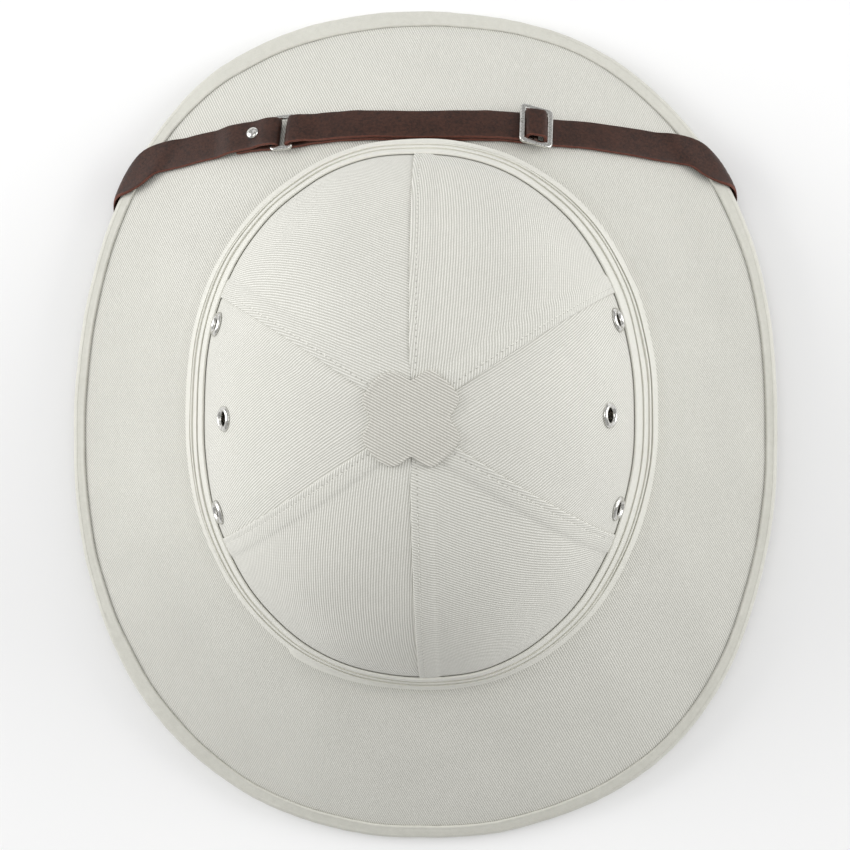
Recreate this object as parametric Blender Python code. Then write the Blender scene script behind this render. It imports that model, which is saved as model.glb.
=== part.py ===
"""Pith helmet: a moulded shell covered with cloth, with a pleated band and a leather chin strap.

Metres, +Z up. The front faces -Y, and the helmet rests on Z = 0 with the middle of its rim
over the origin. `turn` is an angle round the helmet in degrees: 0 is the left side (+X),
90 the back and 270 the front. `row` runs down the outer cloth from the apex (0) over the
crown's foot (CROWN_FOOT) to the edge of the brim (BRIM_EDGE).
"""
import math

import bpy
import bmesh
import numpy as np
from mathutils import Matrix, Vector

# Helmet
HELMET_LENGTH = 0.343
HELMET_WIDTH = 0.288
CROWN_LENGTH = 0.2073
CROWN_WIDTH = 0.1772
CROWN_HEIGHT = 0.0905
CROWN_FORWARD = 0.0045
BRIM_DROP = 0.042
RIM_ARCH = 0.013
ARCH_EASE = 1.6
CROWN_SQUARE = 2.15
RIM_SQUARE_FRONT = 2.22
RIM_SQUARE_BACK = 2.35

# Walls and clearances
GAP = 0.0003
SHELL_WALL = 0.003
CLOTH = 0.001
STRAP_GAP = 0.0007
STRAP_EASE = 0.3
BAR_GAP = 0.00045
REST_FLAT = 0.0006
EDGE_LEAN = 0.2

# Panels, binding, band and patch
SIDE_SEAM = 26
STEP_TURN = 9.1
BINDING_WALL = 0.0011
BINDING_LEG = 0.0065
PLY = 0.001
PLIES = 4
PLY_TUCK = 0.55
PLY_FOLD = 0.16
PATCH_LOBE = 0.0181
PATCH_NOTCH = 0.0133
PATCH_ROUND = 0.6

# Eyelets: two low ones just above the band, and one higher between them
EYELET_RADIUS = 0.00475
EYELET_HOLE = 0.0025
EYELET_BARREL = 0.0032
EYELET_RISE = 0.0009
EYELET_TURN = 19.7
EYELET_CLEAR = 0.0005
EYELET_CLIMB = 0.0186
EYELET_SIDES = 10

# Chin strap and its metal
STRAP_WIDTH = 0.0127
STRAP_WALL = 0.0016
BAR = 0.0014
RING_LENGTH = 0.0096
RING_BREADTH = 0.0168
RING_BAR = 0.0018
SLIDE_LENGTH = 0.0140
SLIDE_BREADTH = 0.0190
SLIDE_BAR = 0.0024
SLIDE_MIDDLE_BAR = 0.0020
TAIL_LENGTH = 0.0165
RING_ASIDE = 0.054
SLIDE_ASIDE = 0.046
STUD_FROM_RING = 0.0126
STUD_RADIUS = 0.0026
STUD_SHANK = 0.0012
STUD_RISE = 0.0016
RIVET_HEAD = 0.0045
RIVET_SHANK = 0.0017
RIVET_DEPTH = 0.0018
RIVET_RISE = 0.0012
RIVET_FROM_END = 0.007
STRAP_CLIMB = 0.0045

# Crown profile from the apex down: shares of the crown's height, width and length
CROWN_ROWS = (
    # drop, wide, long
    (0.000, 0.000, 0.000),
    (0.025, 0.212, 0.238),
    (0.080, 0.367, 0.408),
    (0.160, 0.506, 0.557),
    (0.260, 0.631, 0.685),
    (0.370, 0.733, 0.785),
    (0.480, 0.812, 0.860),
    (0.590, 0.875, 0.918),
    (0.700, 0.923, 0.957),
    (0.850, 0.971, 0.985),
    (1.000, 1.000, 1.000),
)
# Brim profile from the crown's foot out: shares of the brim's reach and drop
BRIM_ROWS = (
    # out, down
    (0.18, 0.165),
    (0.30, 0.275),
    (0.54, 0.515),
    (0.78, 0.760),
    (1.00, 1.000),
)
CROWN_FOOT = len(CROWN_ROWS) - 1
BRIM_EDGE = CROWN_FOOT + len(BRIM_ROWS)

# Rows where the pieces have a ring of points, the same for every layer
PANEL_TOP = 0.55
BAND_TOP = 8.0
PANEL_FOOT = 9.6
COVER_TOP = 10.0
BAND_FOOT = 10.25
RINGS = (0, PANEL_TOP, 1.2, 2.4, 3.6, 4.8, 5.9, 6.95, BAND_TOP, 8.85, PANEL_FOOT, COVER_TOP, BAND_FOOT,
         11, 13.2, BRIM_EDGE)

# The strap's middle line over the brim, seen from above, from the left rim to the middle: share of
# the helmet's width, and share of the way from the crown's foot in front to the rim in front
STRAP_COURSE = (
    # aside, ahead
    (0.4135, -0.081),
    (0.376, 0.004),
    (0.320, 0.050),
    (0.243, 0.100),
    (0.150, 0.136),
    (0.000, 0.143),
)
# The hidden stretch under the brim, from the left rim to the anchor: degrees back from the
# rim crossing, and share of the way in from the rim's lower edge to the strap's end
STRAP_RETURN = (
    # back, inward
    (5.0, 0.00),
    (13.5, 0.27),
    (22.0, 0.54),
    (28.5, 0.78),
    (32.0, 1.00),
)
ANCHOR_RISE = 0.018

# The long strap's way up through the slide and over its middle bar: share of the distance
# from the middle bar to an outer bar, and share of the climb over the middle bar
SLIDE_WEAVE = (
    # aside, climb
    (1.00, 0.00),
    (0.76, 0.01),
    (0.60, 0.17),
    (0.48, 0.38),
    (0.39, 0.71),
    (0.26, 0.95),
    (0.00, 1.00),
    (-0.27, 0.92),
    (-0.42, 0.58),
    (-0.53, 0.24),
    (-0.64, 0.03),
    (-1.00, 0.00),
)

# Heights of layers and lengths of bends, worked out from the sizes above
STACK = CLOTH + GAP + SHELL_WALL
EDGE_INNER = STACK / 2 + GAP
EDGE_OUTER = EDGE_INNER + BINDING_WALL
STRAP_LOW = STRAP_GAP + STRAP_WALL / 2
STRAP_HIGH = STRAP_LOW + STRAP_WALL + GAP
BAR_STEP = STRAP_WALL / 2 + BAR_GAP + BAR / 2
FOLD_OUT = RING_BAR / 2 + 2 * BAR_GAP + STRAP_WALL / 2
RIM_OVERHANG = GAP + BINDING_WALL + EDGE_LEAN * STACK
FRONT_FOOT = CROWN_FORWARD + CROWN_LENGTH / 2
TURNS_OF_SEAMS = (-SIDE_SEAM, SIDE_SEAM, 90, 180 - SIDE_SEAM, 180 + SIDE_SEAM, 270)


def clear_scene():
    for item in list(bpy.data.objects):
        bpy.data.objects.remove(item, do_unlink=True)


def material(name, colour, roughness, metallic=0.0):
    """Principled material from an sRGB colour given as 0 to 255."""
    made = bpy.data.materials.new(name)
    made.use_nodes = True
    linear = [((c / 255 + 0.055) / 1.055) ** 2.4 for c in colour]
    shader = made.node_tree.nodes["Principled BSDF"]
    shader.inputs["Base Color"].default_value = (*linear, 1)
    shader.inputs["Roughness"].default_value = roughness
    shader.inputs["Metallic"].default_value = metallic
    made.diffuse_color = (*linear, 1)
    return made


def lerp(start, end, part):
    return start + (end - start) * part


def profile_rows():
    """Each row's half width, half length, middle, height, arch and squareness front and back."""
    crown_half = CROWN_WIDTH / 2, CROWN_LENGTH / 2
    rim_half = HELMET_WIDTH / 2 - RIM_OVERHANG, HELMET_LENGTH / 2 - RIM_OVERHANG
    rows = []
    for drop, wide, long in CROWN_ROWS:
        rows.append((wide * crown_half[0], long * crown_half[1], -CROWN_FORWARD,
                     BRIM_DROP + (1 - drop) * CROWN_HEIGHT, 0, CROWN_SQUARE, CROWN_SQUARE))
    for out, down in BRIM_ROWS:
        rows.append((lerp(crown_half[0], rim_half[0], out), lerp(crown_half[1], rim_half[1], out),
                     -CROWN_FORWARD * (1 - out), BRIM_DROP * (1 - down), RIM_ARCH * out ** ARCH_EASE,
                     lerp(CROWN_SQUARE, RIM_SQUARE_FRONT, out), lerp(CROWN_SQUARE, RIM_SQUARE_BACK, out)))
    rows = np.array(rows)
    before = rows[1] * (-1, -1, 1, 1, 1, 1, 1)
    after = 2 * rows[-1] - rows[-2]
    return np.vstack([before, rows, after])


PROFILE = profile_rows()


def curve_through(points, place):
    """Smooth value at a fractional place; the first and last points only steer the ends."""
    index = min(max(int(math.floor(place)), 0), len(points) - 4)
    part = place - index
    before, start, end, after = points[index:index + 4]
    return 0.5 * (2 * start + (end - before) * part
                  + (2 * before - 5 * start + 4 * end - after) * part ** 2
                  + (3 * start - before - 3 * end + after) * part ** 3)


def signed_power(value, power):
    return math.copysign(abs(value) ** power, value)


def cloth_point(turn, row):
    """Point of the outer cloth surface, with the skin's rim at height 0 in front."""
    half_width, half_length, middle, height, arch, front, back = curve_through(PROFILE, row)
    cosine = math.cos(math.radians(turn))
    sine = math.sin(math.radians(turn))
    power = 2 / (front if sine < 0 else back)
    return Vector((half_width * signed_power(cosine, power),
                   middle + half_length * signed_power(sine, power),
                   height + arch * cosine ** 2))


def cloth_normal(turn, row):
    """Outward normal of the cloth surface."""
    if row < 0.01:
        return Vector((0, 0, 1))
    along = cloth_point(turn + 0.2, row) - cloth_point(turn - 0.2, row)
    down = cloth_point(turn, row + 0.01) - cloth_point(turn, row - 0.01)
    return down.cross(along).normalized()


def raised(turn, row, lift):
    return cloth_point(turn, row) + cloth_normal(turn, row) * lift


def edge_point(turn, angle, radius):
    """Point round the brim's edge: angle 0 is on top, 90 outside and 180 underneath."""
    normal = cloth_normal(turn, BRIM_EDGE)
    down = cloth_point(turn, BRIM_EDGE + 0.01) - cloth_point(turn, BRIM_EDGE - 0.01)
    outward = (down - normal * down.dot(normal)).normalized()
    centre = cloth_point(turn, BRIM_EDGE) - normal * STACK / 2
    lean = math.radians(angle)
    return centre + (normal * math.cos(lean) + outward * math.sin(lean)) * radius


def rim_bottom():
    """Height of the binding's lowest point, with the skin's rim at height 0 in front."""
    return min(edge_point(turn, angle, EDGE_OUTER).z for turn in (90, 270) for angle in range(90, 181, 2))


LIFT_OFF = Vector((0, 0, -rim_bottom() - REST_FLAT))


def panel_spans():
    """First turn, last turn and number of equal steps of each panel, from seam to seam."""
    spans = []
    for index, start in enumerate(TURNS_OF_SEAMS):
        end = TURNS_OF_SEAMS[(index + 1) % len(TURNS_OF_SEAMS)]
        if end < start:
            end += 360
        spans.append((start, end, round((end - start) / STEP_TURN)))
    return spans


PANELS = panel_spans()
ROUND = [lerp(start, end, step / steps) for start, end, steps in PANELS for step in range(steps)]


def add_object(name, mesh_data, look, smooth_angle=40):
    """Object from a bmesh, shaded smooth up to an angle."""
    mesh = bpy.data.meshes.new(name)
    bmesh.ops.recalc_face_normals(mesh_data, faces=mesh_data.faces)
    mesh_data.to_mesh(mesh)
    mesh_data.free()
    mesh.shade_smooth()
    mesh.set_sharp_from_angle(angle=math.radians(smooth_angle))
    mesh.materials.append(look)
    made = bpy.data.objects.new(name, mesh)
    bpy.context.scene.collection.objects.link(made)
    return made


def add_quad(data, corners, layered):
    """Two triangles from four corners.

    In layered pieces they meet on the diagonal from the lower corner that is further from
    the middle, the same for every layer, so that the gap between layers stays even.
    Elsewhere they meet on the shorter diagonal.
    """
    if layered:
        lower = sorted(range(4), key=lambda i: corners[i].co.z)[:2]
        start = max(lower, key=lambda i: abs(corners[i].co.y + CROWN_FORWARD))
    else:
        across = (corners[0].co - corners[2].co).length, (corners[1].co - corners[3].co).length
        start = 0 if across[0] <= across[1] else 1
    a, b, c, d = (corners[(start + i) % 4] for i in range(4))
    data.faces.new((a, b, c))
    data.faces.new((a, c, d))


def loops_solid(name, loops, look, close_along=False, floor=None, layered=True):
    """Solid from loops of points joined one to the next; open ends are capped.

    close_along joins the last loop to the first. A loop of one point closes to a tip.
    """
    data = bmesh.new()
    rings = []
    for loop in loops:
        points = [point + LIFT_OFF for point in loop]
        if floor is not None:
            points = [Vector((p.x, p.y, max(p.z, floor))) for p in points]
        rings.append([data.verts.new(point) for point in points])
    pairs = list(zip(rings, rings[1:]))
    if close_along:
        pairs.append((rings[-1], rings[0]))
    for first, second in pairs:
        count = max(len(first), len(second))
        for index in range(count):
            after = (index + 1) % count
            if len(first) == 1:
                data.faces.new((first[0], second[after], second[index]))
            elif len(second) == 1:
                data.faces.new((first[index], first[after], second[0]))
            else:
                add_quad(data, (first[index], first[after], second[after], second[index]), layered)
    if not close_along:
        for ring in (rings[0], rings[-1]):
            if len(ring) > 2:
                data.faces.new(ring)
    return add_object(name, data, look)


def make_shell(look):
    """Moulded wall: down the outside from the apex, round the brim's edge, up the inside."""
    rings = [row for row in RINGS if row != PANEL_TOP]
    outer = CLOTH + GAP
    inner = outer + SHELL_WALL
    loops = [[raised(0, 0, -outer)]]
    loops += [[raised(turn, row, -outer) for turn in ROUND] for row in rings[1:]]
    loops += [[raised(turn, row, -inner) for turn in ROUND] for row in reversed(rings[1:])]
    loops += [[raised(0, 0, -inner)]]
    return loops_solid("pith_shell", loops, look)


def seam_shift(turn, row):
    """Degrees that half a gap takes up beside a seam at this row."""
    here = cloth_point(turn, row)
    near = cloth_point(turn + 1, row)
    return GAP / 2 / (near - here).length


def make_panels(look):
    """Six gores of the crown, each from seam to seam and from under the patch to under the band."""
    rings = [row for row in RINGS if PANEL_TOP <= row <= PANEL_FOOT]
    panels = []
    for index, (start, end, steps) in enumerate(PANELS):
        loops = []
        for step in range(steps + 1):
            turn = lerp(start, end, step / steps)
            side = {0: 1, steps: -1}.get(step, 0)
            turns = [turn + side * seam_shift(turn, row) for row in rings]
            loops.append([raised(t, row, 0) for t, row in zip(turns, rings)]
                         + [raised(t, row, -CLOTH) for t, row in reversed(list(zip(turns, rings)))])
        panels.append(loops_solid(f"crown_panel_{index + 1}", loops, look))
    return panels


def make_brim_cover(look):
    rings = [row for row in RINGS if row >= COVER_TOP]
    loops = [[raised(turn, row, 0) for row in rings] + [raised(turn, row, -CLOTH) for row in reversed(rings)]
             for turn in ROUND]
    return loops_solid("brim_cover", loops, look, close_along=True)


def row_up(turn, start, distance):
    """Row that lies a distance up from another row, measured along the cloth."""
    rows = np.linspace(start, start - 8, 27)
    points = [cloth_point(turn, row) for row in rows]
    steps = [(b - a).length for a, b in zip(points, points[1:])]
    return float(np.interp(distance, np.concatenate([[0], np.cumsum(steps)]), rows))


def make_binding(look):
    """Folded binding round the edge; its underside is pressed flat where it rests."""
    loops = []
    for turn in ROUND:
        row = row_up(turn, BRIM_EDGE, BINDING_LEG)
        over = GAP + BINDING_WALL
        outside = [raised(turn, row, over)]
        outside += [edge_point(turn, angle, EDGE_OUTER) for angle in (0, 55, 90, 125, 160)]
        outside += [raised(turn, row, -STACK - over)]
        inside = [raised(turn, row, -STACK - GAP)]
        inside += [edge_point(turn, angle, EDGE_INNER) for angle in (180, 90, 0)]
        inside += [raised(turn, row, GAP)]
        loops.append(outside + inside)
    return loops_solid("rim_binding", loops, look, close_along=True, floor=0)


def make_band(look):
    """Pleated band: the plies stand out one past another towards the crown's foot."""
    inner_rows = [row for row in RINGS if BAND_TOP <= row <= BAND_FOOT]
    step = (BAND_FOOT - BAND_TOP) / PLIES
    outside = []
    for ply in range(PLIES):
        top = BAND_TOP + ply * step
        outside += [(top, GAP + (ply + PLY_TUCK) * PLY), (top + PLY_FOLD * step, GAP + (ply + 1) * PLY)]
    outside += [(BAND_FOOT, GAP + PLIES * PLY)]
    loops = [[raised(turn, row, GAP) for row in reversed(inner_rows)]
             + [raised(turn, row, lift) for row, lift in outside] for turn in ROUND]
    return loops_solid("hat_band", loops, look, close_along=True)


def dome_place(across, ahead):
    """Turn and row of a point of the cloth given by its place seen from above."""
    low, high = 0.0, float(BRIM_EDGE)
    for _ in range(40):
        row = (low + high) / 2
        half_width, half_length, middle, _, _, front, back = curve_through(PROFILE, row)
        power = front if ahead < middle else back
        inside = abs(across / half_width) ** power + abs((ahead - middle) / half_length) ** power < 1
        low, high = (low, row) if inside else (row, high)
    turn = math.degrees(math.atan2(signed_power((ahead - middle) / half_length, power / 2),
                                   signed_power(across / half_width, power / 2)))
    return turn % 360, row


def make_patch(look):
    """Four lobed patch over the meeting of the panels."""
    sides = 32
    loops = []
    for lift in (GAP, GAP + CLOTH):
        ring_sets = []
        for share in (0.5, 1.0):
            points = []
            for step in range(sides):
                angle = 2 * math.pi * step / sides
                lobe = abs(math.sin(2 * angle)) ** PATCH_ROUND
                radius = share * lerp(PATCH_NOTCH, PATCH_LOBE, lobe)
                place = dome_place(radius * math.cos(angle), radius * math.sin(angle) - CROWN_FORWARD)
                points.append(raised(*place, lift))
            ring_sets.append(points)
        centre = [raised(0, 0, lift)]
        loops += [centre] + ring_sets if lift == GAP else ring_sets[::-1] + [centre]
    return loops_solid("top_patch", loops, look)


def place_frame(origin, normal, along):
    """Matrix with Z along the normal and X near the given direction."""
    z = normal.normalized()
    x = (along - z * along.dot(z)).normalized()
    y = z.cross(x)
    frame = Matrix((x, y, z)).transposed().to_4x4()
    frame.translation = origin + LIFT_OFF
    return frame


def turned_solid(name, profile, sides, frame, look):
    """Solid turned about the frame's Z from (radius, height) points; radius 0 is on the axis."""
    data = bmesh.new()
    rings = []
    for radius, height in profile:
        count = sides if radius else 1
        rings.append([data.verts.new(frame @ Vector((radius * math.cos(2 * math.pi * i / sides),
                                                     radius * math.sin(2 * math.pi * i / sides), height)))
                      for i in range(count)])
    closed = bool(profile[0][0])
    pairs = list(zip(rings, rings[1:])) + ([(rings[-1], rings[0])] if closed else [])
    for first, second in pairs:
        for index in range(sides):
            after = (index + 1) % sides
            corners = [first[index % len(first)], first[after % len(first)],
                       second[after % len(second)], second[index % len(second)]]
            data.faces.new(list(dict.fromkeys(corners)))
    return add_object(name, data, look)


def cut(target, cutter):
    """Boolean cut with a hidden cutter."""
    cutter.hide_render = True
    cutter.display_type = "WIRE"
    modifier = target.modifiers.new(cutter.name, "BOOLEAN")
    modifier.object = cutter
    modifier.operation = "DIFFERENCE"
    modifier.solver = "EXACT"


def drill(name, radius, low, high, frame, sides, targets, look):
    """Round hole about the frame's Z through each target."""
    cutter = turned_solid(name, ((0, low), (radius, low), (radius, high), (0, high)), sides, frame, look)
    for target in targets:
        cut(target, cutter)


def make_eyelets(look, shell, panels):
    """Three vent eyelets a side: a domed flange on the cloth and a barrel through the wall."""
    wall = CLOTH + GAP + SHELL_WALL
    profile = ((EYELET_HOLE, -wall), (EYELET_HOLE, GAP + EYELET_RISE * 0.6),
               ((EYELET_HOLE + EYELET_RADIUS) / 2, GAP + EYELET_RISE),
               (EYELET_RADIUS, GAP + EYELET_RISE * 0.3),
               (EYELET_RADIUS, GAP), (EYELET_BARREL, GAP), (EYELET_BARREL, -wall))
    for side, middle, panel in (("left", 0, panels[0]), ("right", 180, panels[3])):
        for place, step in (("front", -1), ("middle", 0), ("back", 1)):
            turn = middle + step * EYELET_TURN * (1 if side == "left" else -1)
            above_band = EYELET_RADIUS + EYELET_CLEAR + (0 if step else EYELET_CLIMB)
            row = row_up(turn, BAND_TOP, above_band)
            frame = place_frame(raised(turn, row, 0), cloth_normal(turn, row), Vector((0, 1, 0)))
            turned_solid(f"eyelet_{side}_{place}", profile, EYELET_SIDES, frame, look)
            drill(f"cutter_{side}_{place}", EYELET_BARREL + GAP, -3 * wall, wall, frame, EYELET_SIDES,
                  (shell, panel), look)


def strap_place(across, share):
    """Turn and row of a point of the strap's course."""
    return dome_place(across, -lerp(FRONT_FOOT, HELMET_LENGTH / 2, share))


class StrapCourse:
    """Middle line of the whole strap loop: (turn, reach) by distance from the left anchor.

    `reach` is the distance in from the brim's upper edge. It falls through 0 to -ROUND_EDGE
    round the edge, and further below that on the underside.
    """
    ROUND_EDGE = math.pi * (EDGE_OUTER + STRAP_LOW)

    def __init__(self):
        stations = self.stations()
        stations = [2 * stations[0] - stations[1], *stations, 2 * stations[-1] - stations[-2]]
        count = 40 * (len(stations) - 3)
        self.places = np.array([curve_through(stations, i * (len(stations) - 3) / count)
                                for i in range(count + 1)])
        points = [self.surface(turn, reach, STRAP_LOW) for turn, reach in self.places]
        steps = [(b - a).length for a, b in zip(points, points[1:])]
        self.marks = np.concatenate([[0], np.cumsum(steps)])
        self.length = float(self.marks[-1])

    def stations(self):
        """Stations on the left half, and the same mirrored on the right."""
        half = []
        for aside, ahead in STRAP_COURSE:
            turn, row = strap_place(aside * HELMET_WIDTH, ahead)
            half.append(np.array([turn, self.edge_distance(turn, row)]))
        crossing = half[0][0]
        self.brim_width = self.edge_distance(crossing + STRAP_RETURN[-1][0], CROWN_FOOT)
        way_in = self.brim_width + ANCHOR_RISE
        hidden = [np.array([crossing + back, -self.ROUND_EDGE - inward * way_in])
                  for back, inward in reversed(STRAP_RETURN)]
        left = hidden + half
        right = [np.array([540 - turn, reach]) for turn, reach in reversed(left[:-1])]
        return left + right

    @staticmethod
    def edge_distance(turn, row):
        rows = np.linspace(row, BRIM_EDGE, 13)
        points = [cloth_point(turn, r) for r in rows]
        return sum((b - a).length for a, b in zip(points, points[1:]))

    def surface(self, turn, reach, level):
        """Point at a level over the helmet's outside, its edge or its underside."""
        over = GAP + BINDING_WALL
        if -self.ROUND_EDGE < reach < 0:
            return edge_point(turn, -180 * reach / self.ROUND_EDGE, EDGE_OUTER + level)
        inward = reach if reach >= 0 else -reach - self.ROUND_EDGE
        fade = min(max(inward / BINDING_LEG - 1 - STRAP_EASE, 0), 1)
        step = over * (1 - fade * fade * (3 - 2 * fade))
        row = row_up(turn, BRIM_EDGE, inward)
        if reach >= 0:
            return raised(turn, row, level + step)
        return raised(turn, row, -STACK - level - step)

    def place(self, mark):
        return (float(np.interp(mark, self.marks, self.places[:, 0])),
                float(np.interp(mark, self.marks, self.places[:, 1])))

    def mark_at(self, turn):
        """Distance along the loop where the upper strap passes a turn."""
        upper = self.places[:, 1] >= 0
        return float(np.interp(-turn, -self.places[upper, 0], self.marks[upper]))

    def frame(self, mark, level):
        """Origin, direction along the strap, direction across and outward normal."""
        step = STRAP_WALL / 2
        turn, reach = self.place(mark)
        here = self.surface(turn, reach, level)
        along = self.surface(*self.place(mark + step), level) - self.surface(*self.place(mark - step), level)
        outward = self.surface(turn, reach, level + step) - here
        along.normalize()
        across = outward.cross(along).normalized()
        return here, along, across, along.cross(across)

    def beside(self, mark, level, offset):
        """Point beside the middle line, on the same curved surface."""
        turn, reach = self.place(mark)
        here, _, across, _ = self.frame(mark, level)
        swing = 2
        shift = STRAP_WIDTH / 3
        by_turn = (self.surface(turn + swing, reach, level)
                   - self.surface(turn - swing, reach, level)) / (2 * swing)
        by_reach = (self.surface(turn, reach + shift, level)
                    - self.surface(turn, reach - shift, level)) / (2 * shift)
        a, b, c = by_turn.dot(by_turn), by_turn.dot(by_reach), by_reach.dot(by_reach)
        p, q = by_turn.dot(across) * offset, by_reach.dot(across) * offset
        scale = a * c - b * b
        return self.surface(turn + (p * c - q * b) / scale, reach + (q * a - p * b) / scale, level)


def run_marks(course, start, end):
    """Marks from start to end, close together where the strap bends at the rim and the crown's foot."""
    marks = [start]
    direction = 1 if end > start else -1
    while (end - marks[-1]) * direction > GAP:
        reach = course.place(marks[-1])[1]
        inward = max(reach, -reach - course.ROUND_EDGE)
        past_foot = reach < -course.ROUND_EDGE - course.brim_width + STRAP_WIDTH
        if inward < STRAP_WIDTH / 2:
            step = STRAP_WIDTH / 5
        elif inward < STRAP_WIDTH * 1.5 or past_foot:
            step = STRAP_WIDTH / 4
        else:
            step = STRAP_WIDTH
        marks.append(marks[-1] + direction * min(step, abs(end - marks[-1])))
    return marks


def ribbon(name, course, path, look):
    """Leather strap along (mark, level) points; it may fold back over itself."""
    parts = (-0.5, -0.17, 0.17, 0.5)
    middles = [course.frame(mark, level) for mark, level in path]
    loops = []
    for index, (mark, level) in enumerate(path):
        before = middles[max(index - 1, 0)][0]
        after = middles[min(index + 1, len(path) - 1)][0]
        across = middles[index][2]
        lift = (after - before).normalized().cross(across).normalized() * STRAP_WALL / 2
        line = [course.beside(mark, level, part * STRAP_WIDTH) for part in parts]
        loops.append([point + lift for point in line] + [point - lift for point in reversed(line)])
    return loops_solid(name, loops, look, layered=False)


def fold_over_bar(mark, level, direction, steps=6):
    """Half turn round the ring's bar: from above it, past it in the direction given, to below it."""
    return [(mark + direction * FOLD_OUT * math.sin(math.pi * i / steps),
             level + BAR_STEP * math.cos(math.pi * i / steps)) for i in range(steps + 1)]


def make_strap_short(course, ring_mark, look):
    """Left strap: anchor, under the brim, round the rim, over the ring's near bar and a tail below."""
    bar_mark = ring_mark - RING_LENGTH / 2 + RING_BAR / 2
    bar_level = STRAP_LOW + BAR_STEP
    tail_end = bar_mark - TAIL_LENGTH
    path = [(mark, STRAP_LOW) for mark in run_marks(course, 0, tail_end - STRAP_CLIMB - STRAP_WALL)]
    path += [(mark, STRAP_HIGH) for mark in (tail_end - STRAP_WALL, tail_end + STRAP_CLIMB,
                                             bar_mark - FOLD_OUT - STRAP_CLIMB)]
    path += [(bar_mark - FOLD_OUT, bar_level + BAR_STEP)]
    path += fold_over_bar(bar_mark, bar_level, 1)
    path += [(mark, STRAP_LOW) for mark in (bar_mark - FOLD_OUT - STRAP_WALL, (bar_mark + tail_end) / 2,
                                            tail_end)]
    return ribbon("strap_short", course, path, look)


def slide_levels():
    """Levels of the slide's bars: first (towards the ring), middle and last."""
    first = STRAP_HIGH + BAR_STEP + BAR_GAP
    last = STRAP_LOW + BAR_STEP + BAR_GAP
    return first, (first + last) / 2, last


def make_strap_long(course, ring_mark, slide_mark, look):
    """Right strap: anchor, rim, through the slide, over the ring's bar and back to the slide."""
    bar_mark = ring_mark + RING_LENGTH / 2 - RING_BAR / 2
    bar_level = STRAP_LOW + BAR_STEP
    reach = SLIDE_LENGTH / 2 - SLIDE_BAR / 2
    over = slide_levels()[1] + BAR_STEP + BAR_GAP
    path = [(mark, STRAP_LOW) for mark in run_marks(course, course.length, slide_mark + reach + SLIDE_BAR)]
    path += [(slide_mark + aside * reach, lerp(STRAP_LOW if aside > 0 else STRAP_HIGH, over, climb))
             for aside, climb in SLIDE_WEAVE]
    path += [(mark, STRAP_HIGH) for mark in run_marks(course, slide_mark - reach - STRAP_CLIMB,
                                                      bar_mark + FOLD_OUT + STRAP_CLIMB)]
    path += [(bar_mark + FOLD_OUT, bar_level + BAR_STEP)]
    path += fold_over_bar(bar_mark, bar_level, -1)
    path += [(mark, STRAP_LOW) for mark in run_marks(course, bar_mark + FOLD_OUT + STRAP_WALL, slide_mark)]
    return ribbon("strap_long", course, path, look)


def bar_frame(name, length, breadth, bar, middle_bar, frame, look):
    """Flat metal frame with rounded edges: one window, or two beside a middle bar."""
    half, side = length / 2, breadth / 2
    xs = [-half, -half + bar, half - bar, half]
    windows = {(1, 1)}
    if middle_bar:
        xs[2:2] = [-middle_bar / 2, middle_bar / 2]
        windows = {(1, 1), (3, 1)}
    ys = [-side, -side + bar, side - bar, side]
    data = bmesh.new()
    grid = [[data.verts.new((x, y, -BAR / 2)) for y in ys] for x in xs]
    for i in range(len(xs) - 1):
        for j in range(3):
            if (i, j) not in windows:
                data.faces.new((grid[i][j], grid[i + 1][j], grid[i + 1][j + 1], grid[i][j + 1]))
    base = list(data.faces)
    raised_part = bmesh.ops.extrude_face_region(data, geom=base)["geom"]
    for vert in (item for item in raised_part if isinstance(item, bmesh.types.BMVert)):
        vert.co.z += BAR
    made = add_object(name, data, look, 60)
    made.matrix_world = frame
    rounding = made.modifiers.new("rounded edges", "BEVEL")
    rounding.width = BAR / 4
    rounding.segments = 1
    rounding.limit_method = "ANGLE"
    return made


def strap_frame(course, mark, level, tilt=0.0):
    """Matrix on the strap's middle line: X along it, Z outward, tilted about Y."""
    here, along, _, normal = course.frame(mark, level)
    return place_frame(here, normal, along) @ Matrix.Rotation(tilt, 4, "Y")


def make_strap_metal(course, ring_mark, slide_mark, look):
    ring_level = STRAP_LOW + BAR_STEP
    bar_frame("strap_ring", RING_LENGTH, RING_BREADTH, RING_BAR, 0,
              strap_frame(course, ring_mark, ring_level), look)
    first, middle, last = slide_levels()
    tilt = math.atan2(first - last, SLIDE_LENGTH - SLIDE_BAR)
    bar_frame("slide_buckle", SLIDE_LENGTH, SLIDE_BREADTH, SLIDE_BAR, SLIDE_MIDDLE_BAR,
              strap_frame(course, slide_mark, middle, tilt), look)


def make_stud(course, mark, strap, look):
    """Domed stud whose shank goes through both plies of the short strap."""
    frame = strap_frame(course, mark, 0)
    top = STRAP_HIGH + STRAP_WALL / 2 + 2 * GAP
    profile = ((0, STRAP_GAP), (STUD_SHANK, STRAP_GAP), (STUD_SHANK, top), (STUD_RADIUS, top),
               (STUD_RADIUS * 0.97, top + STUD_RISE * 0.3), (STUD_RADIUS * 0.7, top + STUD_RISE * 0.75),
               (0, top + STUD_RISE))
    turned_solid("strap_stud", profile, EYELET_SIDES, frame, look)
    drill("cutter_stud", STUD_SHANK + GAP, -GAP, 2 * top, frame, EYELET_SIDES, (strap,), look)


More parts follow.
